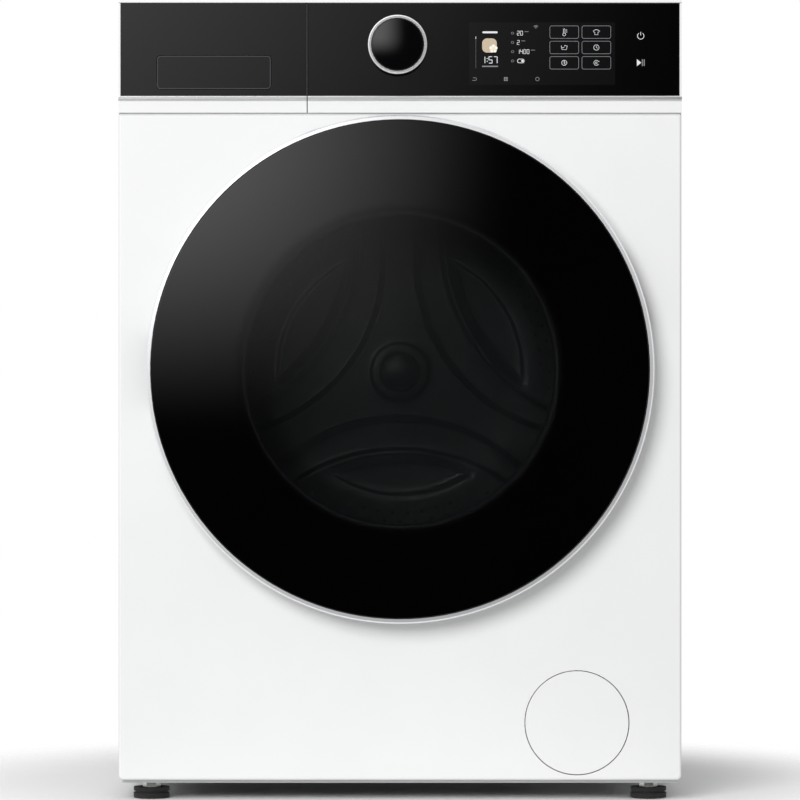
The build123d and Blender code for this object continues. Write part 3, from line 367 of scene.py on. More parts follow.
PAD_TOP = 11.05 * MM
for node in FEET:
    second_material(node, ZINC, lambda centre: centre.z > PAD_TOP)
FLAP_BACK = PANEL_Y + 2.02 * MM
second_material("filter_flap", BLACK_PP, lambda centre: centre.y > FLAP_BACK)

# ------------------------------------------------------------ mesh helpers


def add_mesh(name, verts, faces, mat, body, smooth=40):
    mesh = bpy.data.meshes.new(name)
    mesh.from_pydata([tuple(v) for v in verts], [], faces)
    mesh.validate()
    mesh.update()
    obj = bpy.data.objects.new(name, mesh)
    bpy.context.scene.collection.objects.link(obj)
    mesh.materials.append(mat)
    work = bmesh.new()
    work.from_mesh(mesh)
    bmesh.ops.remove_doubles(work, verts=work.verts, dist=1e-7)
    bmesh.ops.recalc_face_normals(work, faces=work.faces)
    work.to_mesh(mesh)
    work.free()
    if smooth:
        mesh.shade_smooth()
        mesh.set_sharp_from_angle(angle=math.radians(smooth))
    if body:
        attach(obj, body)
    return obj


def rounded(points, times=2, closed=True):
    """Cuts the corners of an outline so that it becomes a smooth curve."""
    for _ in range(times):
        cut = []
        count = len(points)
        last = count if closed else count - 1
        if not closed:
            cut.append(points[0])
        for i in range(last):
            a = Vector(points[i])
            b = Vector(points[(i + 1) % count])
            cut.append(tuple(a.lerp(b, 0.25)))
            cut.append(tuple(a.lerp(b, 0.75)))
        if not closed:
            cut.append(points[-1])
        points = cut
    return points


def turned(name, profile, mat, body, steps=160, centre=(0, 0), closed=True, smooth=40):
    """Turns (radius, y) points about an axis along Y through centre (x, z)."""
    cx, cz = centre
    verts = []
    for i in range(steps):
        turn = 2 * math.pi * i / steps
        for r, y in profile:
            verts.append((cx + r * math.cos(turn), y, cz + r * math.sin(turn)))
    count = len(profile)
    faces = []
    for i in range(steps):
        j = (i + 1) % steps
        for k in range(count if closed else count - 1):
            m = (k + 1) % count
            faces.append((i * count + k, i * count + m, j * count + m, j * count + k))
    return add_mesh(name, verts, faces, mat, body, smooth)


def scaled(profile, y0):
    """Profile in mm, its y measured from y0, as metres."""
    return [(r * MM, y0 + y * MM) for r, y in profile]


def thicken(obj, thickness, offset):
    """Gives a sheet its thickness: offset -1 grows it inwards, 0 both ways."""
    wall = obj.modifiers.new("thickness", "SOLIDIFY")
    wall.thickness = thickness
    wall.offset = offset


def sweep(name, path, radii, up, mat, body, sides):
    """Round section carried along a path; up keeps it from twisting."""
    verts = []
    faces = []
    rows = len(path)
    for i, (p, r) in enumerate(zip(path, radii)):
        ahead = path[min(i + 1, rows - 1)] - path[max(i - 1, 0)]
        ahead.normalize()
        side = ahead.cross(up)
        if side.length < 0.05:
            side = Vector((1, 0, 0))
        side.normalize()
        over = side.cross(ahead).normalized()
        for s in range(sides):
            turn = 2 * math.pi * s / sides
            verts.append(p + side * (r * math.cos(turn)) + over * (r * math.sin(turn)))
    for i in range(rows - 1):
        for s in range(sides):
            t = (s + 1) % sides
            faces.append((i * sides + s, i * sides + t, (i + 1) * sides + t, (i + 1) * sides + s))
    faces.append(tuple(range(sides - 1, -1, -1)))
    faces.append(tuple((rows - 1) * sides + s for s in range(sides)))
    return add_mesh(name, verts, faces, mat, body, 60)


def hose(name, points, radius, body, sides=16, ribs=0.0, pitch=1.0):
    """Hose along a smooth path; ribs and their pitch make it a corrugated one."""
    path = smooth_path(points, 8)
    travel = 0.0
    radii = []
    for i, p in enumerate(path):
        if i:
            travel += (p - path[i - 1]).length
        radii.append(radius + ribs * math.cos(2 * math.pi * travel / pitch))
    up = Vector((0.31, 0.22, 0.93)).normalized()
    return sweep(name, path, radii, up, HOSE, body, sides)


def smooth_path(points, per_span):
    """Catmull-Rom curve through the points."""
    pts = [Vector(p) for p in points]
    pts = [pts[0] * 2 - pts[1]] + pts + [pts[-1] * 2 - pts[-2]]
    path = []
    for i in range(1, len(pts) - 2):
        a, b, c, d = pts[i - 1], pts[i], pts[i + 1], pts[i + 2]
        for k in range(per_span):
            t = k / per_span
            path.append(0.5 * (2 * b + (c - a) * t + (2 * a - 5 * b + 4 * c - d) * t * t
                               + (3 * b - a - 3 * c + d) * t * t * t))
    path.append(pts[-2])
    return path


def flat_ring(points, width, closed=True):
    """Ribbon of constant width along (x, z) points, as verts (x, z) and faces."""
    count = len(points)
    verts = []
    for i, p in enumerate(points):
        p = Vector(p)
        before = Vector(points[i - 1]) if closed or i else p
        after = Vector(points[(i + 1) % count]) if closed or i < count - 1 else p
        along = after - before
        along.normalize()
        normal = Vector((-along.y, along.x)) * (width / 2)
        verts.append(p + normal)
        verts.append(p - normal)
    faces = []
    for i in range(count if closed else count - 1):
        j = (i + 1) % count
        faces.append((2 * i, 2 * j, 2 * j + 1, 2 * i + 1))
    return verts, faces


class Print:
    """Collects flat marks that lie on the front glass as one thin raised piece."""

    def __init__(self):
        self.verts = []
        self.faces = []

    def add(self, verts, faces):
        base = len(self.verts)
        self.verts += [(v[0], v[1]) for v in verts]
        self.faces += [tuple(base + k for k in face) for face in faces]

    def line(self, points, width, closed=False):
        self.add(*flat_ring(points, width, closed))

    def fill(self, points):
        self.add([Vector(p) for p in points], [tuple(range(len(points)))])

    def make(self, name, mat, body, y, thick=FILM):
        verts = [(x, y, z) for x, z in self.verts]
        obj = add_mesh(name, verts, self.faces, mat, None, 0)
        thicken(obj, thick, 0)
        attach(obj, body)
        return obj


def arc_points(x, z, radius, start, end, steps=24):
    turn = [math.radians(start + (end - start) * i / steps) for i in range(steps + 1)]
    return [(x + radius * math.cos(a), z + radius * math.sin(a)) for a in turn]


def rounded_box(x, z, width, height, radius, steps=5):
    """Outline of a rounded rectangle centred at x, z."""
    corners = ((1, 1, 0), (-1, 1, 90), (-1, -1, 180), (1, -1, 270))
    points = []
    for sx, sz, start in corners:
        cx = x + sx * (width / 2 - radius)
        cz = z + sz * (height / 2 - radius)
        points += arc_points(cx, cz, radius, start, start + 90, steps)
    return points


# ------------------------------------------------------------ marks on the control glass


def key_icon(art, kind, x, z):
    """Small generic pictograms for the touch keys."""
    w = 0.45 * MM
    if kind == "heat":
        art.line(rounded_box(x, z + 1.2 * MM, 1.6 * MM, 4.6 * MM, 0.75 * MM), w, True)
        art.line(arc_points(x, z - 2.4 * MM, 1.5 * MM, 120, 420), w)
        for k in range(3):
            art.line([(x + 1.9 * MM, z + k * 1.2 * MM), (x + 3 * MM, z + k * 1.2 * MM)], w)
    elif kind == "spin":
        art.line(arc_points(x, z, 2.6 * MM, 30, 330), w)
        art.line([(x + 2.25 * MM, z + 1.3 * MM), (x + 3.3 * MM, z + 1.4 * MM)], w)
        art.line(arc_points(x, z, 0.9 * MM, 0, 360), w)
    elif kind == "basin":
        art.line([(x - 3.2 * MM, z + 2 * MM), (x - 2.4 * MM, z - 2.2 * MM), (x + 2.4 * MM, z - 2.2 * MM),
                  (x + 3.2 * MM, z + 2 * MM)], w)
        art.line(arc_points(x - 1.2 * MM, z + 0.9 * MM, 1.2 * MM, 200, 340), w)
        art.line(arc_points(x + 1.2 * MM, z + 0.9 * MM, 1.2 * MM, 20, 160), w)
    elif kind == "clock":
        art.line(arc_points(x, z, 2.8 * MM, 0, 360), w)
        art.line([(x, z + 1.7 * MM), (x, z), (x + 1.3 * MM, z - 0.8 * MM)], w)
    elif kind == "shirt":
        art.line([(x - 1.1 * MM, z + 2.6 * MM), (x - 3.3 * MM, z + 1.2 * MM), (x - 2.5 * MM, z - 0.1 * MM),
                  (x - 1.7 * MM, z + 0.4 * MM), (x - 1.7 * MM, z - 2.7 * MM), (x + 1.7 * MM, z - 2.7 * MM),
                  (x + 1.7 * MM, z + 0.4 * MM), (x + 2.5 * MM, z - 0.1 * MM), (x + 3.3 * MM, z + 1.2 * MM),
                  (x + 1.1 * MM, z + 2.6 * MM)], w, True)
    elif kind == "wool":
        art.line(arc_points(x, z, 2.7 * MM, 0, 360), w)
        for k in (-1, 0, 1):
            art.line(arc_points(x - 3.4 * MM, z + k * 1.2 * MM - 2 * MM, 4.4 * MM, 12, 52, 8), w * 0.8)


def digit(art, x, z, height, value):
    """Seven-stroke digit with its lower left corner at x, z."""
    width = height * 0.5
    stroke = height * 0.11
    strokes = {
        "a": ((0, 1), (1, 1)), "b": ((1, 1), (1, 0.5)), "c": ((1, 0.5), (1, 0)), "d": ((0, 0), (1, 0)),
        "e": ((0, 0), (0, 0.5)), "f": ((0, 0.5), (0, 1)), "g": ((0, 0.5), (1, 0.5)),
    }
    shapes = ("abcdef", "bc", "abged", "abgcd", "fgbc", "afgcd", "afgedc", "abc", "abcdefg", "abcdfg")
    for key in shapes[value]:
        (x0, z0), (x1, z1) = strokes[key]
        art.line([(x + x0 * width, z + z0 * height), (x + x1 * width, z + z1 * height)], stroke)


def digits(art, x, z, height, text):
    """Row of digits, colons and points; gives the x at which it ends."""
    for mark in text:
        if mark == ":":
            for level in (0.28, 0.72):
                dot = arc_points(x + height * 0.08, z + level * height, height * 0.08, 0, 330, 8)
                art.fill(dot)
            x += height * 0.34
        elif mark == ".":
            art.fill(arc_points(x + height * 0.05, z, height * 0.07, 0, 330, 8))
            x += height * 0.26
        else:
            digit(art, x, z, height, int(mark))
            x += height * 0.78
    return x


SCREEN_LOW, SCREEN_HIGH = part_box("display_module")
MARK_Y = GLASS_Y - FILM
PICTURE_X = SCREEN_LOW.x + 22 * MM
KEY_PITCH_X = 33.9 * MM
KEY_PITCH_Z = 16.2 * MM
KEY_WIDTH = 30.4 * MM
KEY_HEIGHT = 13.2 * MM


def display_window():
    """Slightly lighter field of glass over the display."""
    left, low, right, high = SCREEN_LOW.x, SCREEN_LOW.z, SCREEN_HIGH.x, SCREEN_HIGH.z
    window = Print()
    window.fill(rounded_box((left + right) / 2, (low + high) / 2, right - left, high - low, 0.8 * MM))
    window.make("display_window", SCREEN_GLASS, "cabinet", GLASS_Y - FILM / 2)


def programme_column(art, dim):
    """Bar in place of the programme's name, the time left and the scale beside them."""
    left, low = SCREEN_LOW.x, SCREEN_LOW.z
    dim.fill(rounded_box(PICTURE_X, low + 19.6 * MM, 17 * MM, 1.3 * MM, 0.5 * MM, 2))
    art.fill(rounded_box(PICTURE_X, low + 55.5 * MM, 16 * MM, 2.0 * MM, 0.9 * MM, 3))
    digits(art, left + 13.2 * MM, low + 23 * MM, 6.8 * MM, "1:57")
    scale_x = left + 7 * MM
    dim.line([(scale_x, low + 17.6 * MM), (scale_x, low + 48 * MM)], 0.2 * MM)
    art.line([(scale_x, low + 48.5 * MM), (scale_x, low + 51 * MM)], 0.6 * MM)


def settings_column(art, dim):
    """Three numbers with a small mark before each, and a switch below them."""
    left, low = SCREEN_LOW.x, SCREEN_LOW.z
    icon_x = left + 45.8 * MM
    for k, text in enumerate(("20", "2", "1400")):
        row = low + (54.6 - 9.75 * k) * MM
        dim.line(rounded_box(icon_x, row, 2.6 * MM, 2.0 * MM, 0.7 * MM, 2), 0.4 * MM, True)
        end = digits(art, left + 50.7 * MM, row - 2.2 * MM, 4.4 * MM, text)
        dim.line([(end + 1 * MM, row + 1.6 * MM), (end + 5 * MM, row + 1.6 * MM)], 0.6 * MM)
    row = low + 25.3 * MM
    dim.line(rounded_box(icon_x, row, 2.6 * MM, 2.0 * MM, 0.7 * MM, 2), 0.4 * MM, True)
    art.line(rounded_box(left + 54.5 * MM, row, 7 * MM, 4.0 * MM, 1.9 * MM, 4), 0.6 * MM, True)
    art.fill(arc_points(left + 56.2 * MM, row, 1.3 * MM, 0, 330, 11))


def display_icons(dim):
    """Signal arcs at the top, and the back, menu and ring marks along the foot."""
    left, low = SCREEN_LOW.x, SCREEN_LOW.z
    for k in range(3):
        dim.line(arc_points(left + 70.4 * MM, low + 59.4 * MM, (0.8 + 1.2 * k) * MM, 45, 135, 8), 0.6 * MM)
    foot = low + 6.2 * MM
    dim.line([(left + 4 * MM, foot + 1.4 * MM), (left + 6.4 * MM, foot + 1.4 * MM)], 0.5 * MM)
    dim.line(arc_points(left + 6.4 * MM, foot, 1.4 * MM, 90, -90, 10), 0.5 * MM)
    dim.line([(left + 6.4 * MM, foot - 1.4 * MM), (left + 3.2 * MM, foot - 1.4 * MM)], 0.5 * MM)
    for i in (-1, 1):
        for j in (-1, 1):
            cell = (left + (38.7 + 1.15 * i) * MM, foot + 1.15 * j * MM)
            dim.fill(rounded_box(*cell, 1.8 * MM, 1.8 * MM, 0.4 * MM, 2))
    dim.line(arc_points(left + 72 * MM, foot, 1.9 * MM, 0, 360, 20), 0.5 * MM)


def display_picture():
    """Beige patch with a five-petalled flower."""
    low = SCREEN_LOW.z
    picture = Print()
    picture.fill(rounded_box(PICTURE_X - 0.6 * MM, low + 41.6 * MM, 15.4 * MM, 15.0 * MM, 5 * MM))
    picture.make("display_picture", BEIGE, "cabinet", MARK_Y)
    flower = Print()
    for k in range(5):
        turn = math.radians(90 + 72 * k)
        petal_x = PICTURE_X + (3.6 + 2.3 * math.cos(turn)) * MM
        petal_z = low + (38.2 + 2.3 * math.sin(turn)) * MM
        flower.fill(arc_points(petal_x, petal_z, 2.1 * MM, 0, 330, 11))
    flower.make("display_flower", CREAM, "cabinet", MARK_Y - FILM / 2)


def screen_graphics():
    """Programme, time and settings on the display; digits and plain marks only."""
    display_window()
    art = Print()
    dim = Print()
    programme_column(art, dim)
    settings_column(art, dim)
    display_icons(dim)
    art.make("display_marks", MARK, "cabinet", MARK_Y)
    dim.make("display_marks_dim", MARK_DIM, "cabinet", MARK_Y)
    display_picture()


def key_graphics():
    """Six outlined keys in two columns, and the power and start marks beside them."""
    art = Print()
    edge = Print()
    right, top = GLASS_HIGH.x, GLASS_HIGH.z
    icons = (("heat", "shirt"), ("basin", "clock"), ("wool", "spin"))
    for row, pair in enumerate(icons):
        for column, icon in enumerate(pair):
            x = right - 121.7 * MM + column * KEY_PITCH_X
            z = top - 30.7 * MM - row * KEY_PITCH_Z
            edge.line(rounded_box(x, z, KEY_WIDTH, KEY_HEIGHT, 2 * MM), 0.45 * MM, True)
            key_icon(art, icon, x, z)
    x = right - 41 * MM
    power_z = top - 34.7 * MM
    art.line(arc_points(x, power_z, 3.4 * MM, 125, 415), 0.6 * MM)
    art.line([(x, power_z + 0.6 * MM), (x, power_z + 4.2 * MM)], 0.6 * MM)
    start_z = top - 62.9 * MM
    art.fill([(x - 4.0 * MM, start_z - 3.6 * MM), (x + 0.6 * MM, start_z),
              (x - 4.0 * MM, start_z + 3.6 * MM)])
    for bar in (x + 1.7 * MM, x + 3.7 * MM):
        edge.line([(bar, start_z - 3.5 * MM), (bar, start_z + 3.5 * MM)], 1.1 * MM)
    art.make("key_marks", MARK, "cabinet", MARK_Y)
    edge.make("key_outlines", MARK_DIM, "cabinet", MARK_Y)


def flap_edge_highlight():
    """Painted highlight: a fine, faintly glowing light line round the edge of the grip flap, standing in
    for light caught by its edge; the flap's pins stand out 4.5 mm each side.
    """
    low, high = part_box("drawer_grip_flap")
    pin = 4.5 * MM
    width = high.x - low.x - 2 * pin
    height = high.z - low.z
    ring = Print()
    ring.line(rounded_box((low.x + high.x) / 2, low.z + height / 2, width - 0.9 * MM, height - 0.9 * MM,
                          3.6 * MM), 0.8 * MM, True)
    ring.make("flap_edge_highlight", FLAP_HIGHLIGHT, "drawer_flap", low.y - FILM)


def glass_edge():
    """Polished edge of the drawer glass as a faintly glowing grey strip in the seam: a painted highlight
    for light caught in the edge.
    """
    edge_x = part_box("drawer_glass")[1].x
    high = GLASS_HIGH.z - 0.7 * MM
    low = GLASS_LOW.z + 0.3 * MM
    verts = []
    for y in (GLASS_Y + 0.7 * MM, GLASS_Y + 3.4 * MM):
        for x in (edge_x, edge_x + 0.6 * MM):
            verts += [(x, y, low), (x, y, high)]
    faces = [(0, 1, 3, 2), (4, 6, 7, 5), (2, 3, 7, 6), (0, 4, 5, 1), (0, 2, 6, 4), (1, 5, 7, 3)]
    add_mesh("drawer_glass_edge", verts, faces, EDGE_GLINT, "drawer", 0)


screen_graphics()
key_graphics()
flap_edge_highlight()
glass_edge()

# ------------------------------------------------------------ drum

MOUTH_RADIUS = 166 * MM
WRAP_CELLS = 168
ROW_PITCH = 9.2 * MM
HOLE_RADIUS = 1.9 * MM


def drum_front_ring():
    """Rolled front lip of the drum, from its wall in to its mouth."""
    front = DRUM_LOW.y
    radius = DRUM_RADIUS
    nose = [(radius, front + 30 * MM), (radius, front + 22 * MM), (radius - 6 * MM, front + 8 * MM),
            (radius - 24 * MM, front + 3 * MM), (MOUTH_RADIUS + 12 * MM, front + 2 * MM),
            (MOUTH_RADIUS + 2 * MM, front + 2 * MM), (MOUTH_RADIUS, front + 8 * MM),
            (MOUTH_RADIUS, front + 14 * MM)]
    inner = [(r - 1 * MM, y) for r, y in nose[:2]]
    inner += [(r, y + 1 * MM) for r, y in nose[2:6]]
    inner += nose[6:]
    lip = rounded(nose, 2, closed=False) + list(reversed(rounded(inner, 2, closed=False)))
    turned("drum_front_ring", lip, DRUM_STEEL, "drum", 192, (DOOR.x, DOOR_Z), smooth=60)


def on_wrap(turn, y):
    """Point on the drum wall."""
    return (DRUM_RADIUS * math.cos(turn), y, DOOR_Z + DRUM_RADIUS * math.sin(turn))


def punched_cell(verts, corners, turn, y):
    """Faces between a cell's four corners and the eight-sided hole in its middle."""
    ring = []
    for k in range(8):
        spin = math.radians(225 + 45 * k)
        ring.append(len(verts))
        along = HOLE_RADIUS * math.cos(spin) / DRUM_RADIUS
        verts.append(on_wrap(turn + along, y + HOLE_RADIUS * math.sin(spin)))
    return [(corners[k], corners[(k + 1) % 4], ring[(2 * k + 2) % 8], ring[2 * k + 1], ring[2 * k])
            for k in range(4)]


def drum_wrap():
    """Drum wall: a grid of cells, every other one with a hole, and plain rows at both ends."""
    start, end = DRUM_LOW.y + 24 * MM, DRUM_HIGH.y - 6 * MM
    rows = int((end - start) / ROW_PITCH)
    depth = (end - start) / rows
    step = 2 * math.pi / WRAP_CELLS
    verts = [on_wrap(step * i, start + depth * j) for j in range(rows + 1) for i in range(WRAP_CELLS)]
    faces = []
    for j in range(rows):
        for i in range(WRAP_CELLS):
            a = j * WRAP_CELLS + i
            b = j * WRAP_CELLS + (i + 1) % WRAP_CELLS
            corners = (a, b, b + WRAP_CELLS, a + WRAP_CELLS)
            if (i + j) % 2 or j in (0, rows - 1):
                faces.append(corners)
            else:
                faces += punched_cell(verts, corners, step * (i + 0.5), start + depth * (j + 0.5))
    wrap = add_mesh("drum_perforated_wrap", verts, faces, DRUM_STEEL, None, 30)
    thicken(wrap, 0.8 * MM, -1)
    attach(wrap, "drum")
    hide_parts("drum_shell")


def drum_rear_seam():
    """Folded seam where the wall meets the drum back."""
    radius, back = DRUM_RADIUS, DRUM_HIGH.y
    seam = [(radius + 1 * MM, back - 7 * MM), (radius + 1 * MM, back - 1 * MM),
            (radius - 3 * MM, back - 0.6 * MM), (radius - 3 * MM, back - 3 * MM),
            (radius - 1 * MM, back - 5 * MM)]
    turned("drum_rear_seam", rounded(seam, 1), DRUM_STEEL, "drum", 192, (DOOR.x, DOOR_Z), smooth=60)


BACK_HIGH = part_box("drum_back")[1]
BACK_PLATE_Y = BACK_HIGH.y - 3 * MM
ARM_HEIGHT = 6.0
HUB_HEIGHT = 7.5
HUB_RADIUS = 33 * MM
RIM_RADIUS = 196 * MM
BEAD_RADIUS = 212 * MM
POCKET_OUTER = 141 * MM
POCKET_DEPTH = 4.0
SECTORS = (30, 150, 270)
# each arc: distance of its centre from the hub, its radius, and the step up or down across it in mm
ARCS = ((0.252, 0.200, -5.0), (0.306, 0.216, 3.0))


def rise(distance, width):
    """Smooth step from 0 to 1 as a distance crosses zero."""
    return 1 / (1 + math.exp(-max(-30.0, min(30.0, distance / width))))


def back_relief(x, z):
    """Height of the pressed drum back at a point: a three-armed star with arched steps between its arms."""
    r = math.hypot(x, z)
    height = ARM_HEIGHT
    for sector in SECTORS:
        way_x, way_z = math.cos(math.radians(sector)), math.sin(math.radians(sector))
        for centre_r, arc_r, step in ARCS:
            inside = arc_r - math.hypot(x - centre_r * way_x, z - centre_r * way_z)
            height += step * rise(inside, 1.1 * MM)
            height += 1.2 * math.exp(-(inside / (3 * MM)) ** 2)
        centre_r, arc_r, step = ARCS[1]
        inside = arc_r - 10 * MM - math.hypot(x - centre_r * way_x, z - centre_r * way_z)
        height -= POCKET_DEPTH * rise(inside, 1.4 * MM) * rise(POCKET_OUTER - r, 1.6 * MM)
    height -= (height - 1.5) * rise(r - RIM_RADIUS, 2.5 * MM)
    height += 2.5 * math.exp(-((r - BEAD_RADIUS) / (8 * MM)) ** 2)
    hub = rise(HUB_RADIUS - r, 1.2 * MM)
    return (height * (1 - hub) + HUB_HEIGHT * hub) * MM


def drum_back_piece():
    """Pressed disc, its relief raised towards the door."""
    radius = BACK_HIGH.x - 0.6 * MM
    rings = 130
    steps = 360
    verts = [(0, BACK_PLATE_Y - back_relief(0, 0), DOOR_Z)]
    for k in range(1, rings + 1):
        r = radius * k / rings
        for i in range(steps):
            turn = 2 * math.pi * i / steps
            x, z = r * math.cos(turn), r * math.sin(turn)
            verts.append((x, BACK_PLATE_Y - back_relief(x, z), DOOR_Z + z))
    faces = [(0, 1 + i, 1 + (i + 1) % steps) for i in range(steps)]
    for k in range(rings - 1):
        for i in range(steps):
            j = (i + 1) % steps
            a = 1 + k * steps
            faces.append((a + i, a + steps + i, a + steps + j, a + j))
    disc = add_mesh("drum_back_disc", verts, faces, DRUM_DISC, None, 60)
    thicken(disc, 0.8 * MM, 0)
    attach(disc, "drum")
    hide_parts("drum_back")


def drum_back_hole_shade():
    """Black discs in arcs between the arms, where the drain holes are: painted shade for the dark seen
    through holes that are not cut.
    """
    verts = []
    faces = []
    for sector in SECTORS:
        for row, r in enumerate((162 * MM, 172 * MM)):
            for step in range(-6, 6 + row):
                turn = math.radians(sector + (step + 0.5 * (1 - row)) * 6.0)
                x, z = r * math.cos(turn), r * math.sin(turn)
                y = BACK_PLATE_Y - back_relief(x, z) - 0.5 * MM
                faces.append(tuple(range(len(verts), len(verts) + 10)))
                for hole_x, hole_z in arc_points(x, DOOR_Z + z, 2 * MM, 0, 324, 9):
                    verts.append((hole_x, y, hole_z))
    # the black discs are painted shade in place of cut holes
    add_mesh("drum_back_hole_shade", verts, faces, BLACK_PP, "drum", 0)


def drum_hub_cover():
    """Cup over the hub screw."""
    cup = [(0, -9.5), (20, -9.5), (24, -8), (24, -6.5), (0, -6.5)]
    turned("drum_hub_cover", scaled(cup, BACK_PLATE_Y), STEEL, "drum", 64, (0, DOOR_Z), closed=False)


drum_front_ring()
drum_wrap()
drum_rear_seam()
drum_back_piece()
drum_back_hole_shade()
drum_hub_cover()

# ------------------------------------------------------------ door glass, seal, springs and hoses

BOWL_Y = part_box("door_glass_bowl")[0].y
SEAL_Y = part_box("door_seal")[0].y
TUB_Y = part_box("tub_front")[0].y


def bowl_piece():
    """Thick pressed glass: rounded nose, drawn wall and a ground flange."""
    outer = [(185.5, 0), (185.5, 4), (176, 4), (171, 14), (164, 50), (155, 95), (150.5, 112), (144, 120),
             (134, 125), (120, 127.2), (80, 128), (40, 128), (0, 128)]
    inner = [(0, 123), (40, 123), (80, 122.8), (118, 121.5), (130, 119.5), (138.5, 115), (144.5, 107),
             (150, 90), (159, 46), (165.5, 10), (169, 0)]
    profile = scaled(rounded(outer, 2, closed=False) + rounded(inner, 2, closed=False), BOWL_Y)
    bowl = turned("door_bowl_glass", profile, BOWL_GLASS, "door", 192, (DOOR.x, DOOR_Z), smooth=60)
    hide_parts("door_glass_bowl")


def seal_piece():
    """Moulded bellows between the front panel and the mouth of the tub."""
    skin = [(196.8, 0.2), (196.8, 6), (190.5, 12), (187.5, 17), (189, 19.5), (197, 20.5), (199, 24),
            (199, 31), (193, 34), (192.5, 46), (192.5, 63)]
    under = [(187.4, 63), (187.4, 46), (187.8, 31), (191, 28.2), (195.4, 27.6), (195.4, 23.4), (188, 21.2),
             (183.6, 17), (183.6, 11), (177, 8), (173.6, 6), (174.2, 3.4), (180, 2), (187, 0.2)]
    profile = scaled(rounded(skin, 2, closed=False) + rounded(under, 2, closed=False), SEAL_Y)
    seal = turned("door_seal_bellows", profile, SEAL_RUBBER, None, 192, (DOOR.x, DOOR_Z), smooth=60)
    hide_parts("door_seal")
    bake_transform(seal)


def clamp_wire():
    """Wire that clamps the bellows round the mouth of the tub."""
    wire = arc_points(195.6 * MM, TUB_Y + 4 * MM, 1.1 * MM, 0, 315, 7)
    turned("seal_clamp_wire", wire, STEEL, "tub", 160, (DOOR.x, DOOR_Z))


SPRING_RADIUS = 11 * MM
SPRING_WIRE = 2.4 * MM


def spring_points(x, y, low, high, radius):
    """Close coils along Z with a straight hook at each end, twelve points to a turn."""
    start, end = low + 20 * MM, high - 20 * MM
    steps = 12 * int((end - start) / (2 * SPRING_WIRE + 0.5 * MM))
    points = [(x, y, low + 1 * MM), (x, y, low + 8 * MM), (x + 0.4 * radius, y, low + 14 * MM)]
    for i in range(steps + 1):
        turn = 2 * math.pi * i / 12
        z = start + (end - start) * i / steps
        points.append((x + radius * math.cos(turn), y + radius * math.sin(turn), z))
    points += [(x + 0.4 * radius, y, high - 14 * MM), (x, y, high - 8 * MM), (x, y, high - 1 * MM)]
    return [Vector(p) for p in points]


def spring_pieces():
    """Two close-wound tension springs with hooked ends."""
    low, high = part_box("suspension_springs")
    y = (low.y + high.y) / 2
    for side, name in ((-1, "left"), (1, "right")):
        x = side * (high.x - SPRING_RADIUS)
        path = spring_points(x, y, low.z, high.z, SPRING_RADIUS - SPRING_WIRE)
        radii = [SPRING_WIRE] * len(path)
        spring = sweep("suspension_spring_" + name, path, radii, Vector((0, 0.02, 1)), ZINC, None, 8)
        if side < 0:
            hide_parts("suspension_springs")
        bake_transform(spring)


def route(origin, offsets):
    """Points at offsets in mm from an origin."""
    return [Vector(origin) + Vector(offset) * MM for offset in offsets]


PUMP_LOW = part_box("drain_pump")[0]
HOUSE_LOW, HOUSE_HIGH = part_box("dispenser_housing")


def sump_hose():
    """Corrugated hose from the pump's side inlet up to the bottom of the tub."""
    inlet = PUMP_LOW + Vector((4, 51, 47.4)) * MM
    points = route(inlet, [(0, 0, 0), (-18, 2, 0.6), (-33, 30, 10.6), (-51, 60, 45.6), (-55, 70, 82.6),
                           (-55, 71, 106.6)])
    sump = hose("sump_hose", points, 17 * MM, None, 24, 1.6 * MM, 7 * MM)
    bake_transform(sump)


def dispenser_hose():
    """Corrugated hose from the spout of the detergent housing down to the tub."""
    spout = ((HOUSE_LOW.x + HOUSE_HIGH.x) / 2, HOUSE_HIGH.y - 62 * MM, HOUSE_LOW.z)
    points = route(spout, [(0, 0, 3), (0, 0, -10), (14, -15, -32), (36, -28, -52), (44, -32, -80)])
    drop = hose("dispenser_hose", points, 15 * MM, None, 24, 1.4 * MM, 6 * MM)
    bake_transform(drop)


def inlet_hose():
    """Smooth hose from the inlet valve forward to the detergent housing."""
    low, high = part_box("inlet_valve")
    outlet = ((low.x + high.x) / 2, low.y, low.z + 50 * MM)
    hose("inlet_hose", route(outlet, [(0, 3, 0), (0, -20, 0), (0, -76, 4), (0, -136, 4), (0, -195, 4)]),
         8 * MM, "cabinet")


def drain_hose():
    """Ribbed hose from the top of the pump, up beside the tub, to the outlet in the rear panel."""
    low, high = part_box("drain_outlet")
    pump_outlet = PUMP_LOW + Vector((42, 96, 90)) * MM
    rear_outlet = ((low.x + high.x) / 2, low.y, (low.z + high.z) / 2)
    points = route(pump_outlet, [(0, 0, 0), (0, 0, 18), (38, 5, 40), (95, 30, 78), (115, 120, 128),
                                 (117, 240, 228), (117, 350, 368)])
    points += route(rear_outlet, [(67, -30, -55), (30, -24, -8), (0, -17, 0), (0, 3, 0)])
    hose("drain_hose", points, 10 * MM, "cabinet", 16, 0.8 * MM, 5 * MM)


def dome(name, node, radius, crown, thick, mat, body, steps, edge=0.8 * MM):
    """Smoothly domed round face that stands on the node's front face; crown is its height."""
    low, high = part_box(node)
    ball_radius = (radius * radius + crown * crown) / (2 * crown)
    outer = []
    for share in [k / 24 for k in range(24)] + [0.982, 0.992, 0.997, 1.0]:
        r = (radius - edge) * share
        outer.append((r, low.y + ball_radius - math.sqrt(ball_radius * ball_radius - r * r)))
    rim = outer[-1][1]
    outer += [(radius - 0.3 * MM, rim + 0.25 * edge), (radius, rim + edge)]
    inner = [(radius, rim + thick), (radius * 0.5, low.y + thick + crown * 0.25), (0, low.y + thick)]
    centre = ((low.x + high.x) / 2, (low.z + high.z) / 2)
    return turned(name, outer + inner, mat, body, steps, centre, smooth=50)


def door_dome():
    """Outer glass of the door as one smooth dome."""
    low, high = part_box("door_outer_glass")
    radius = (high.x - low.x) / 2
    glass = dome("door_glass_dome", "door_outer_glass", radius, 6.5 * MM, 4 * MM, DOOR_GLASS, "door", 256)
    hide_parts("door_outer_glass")


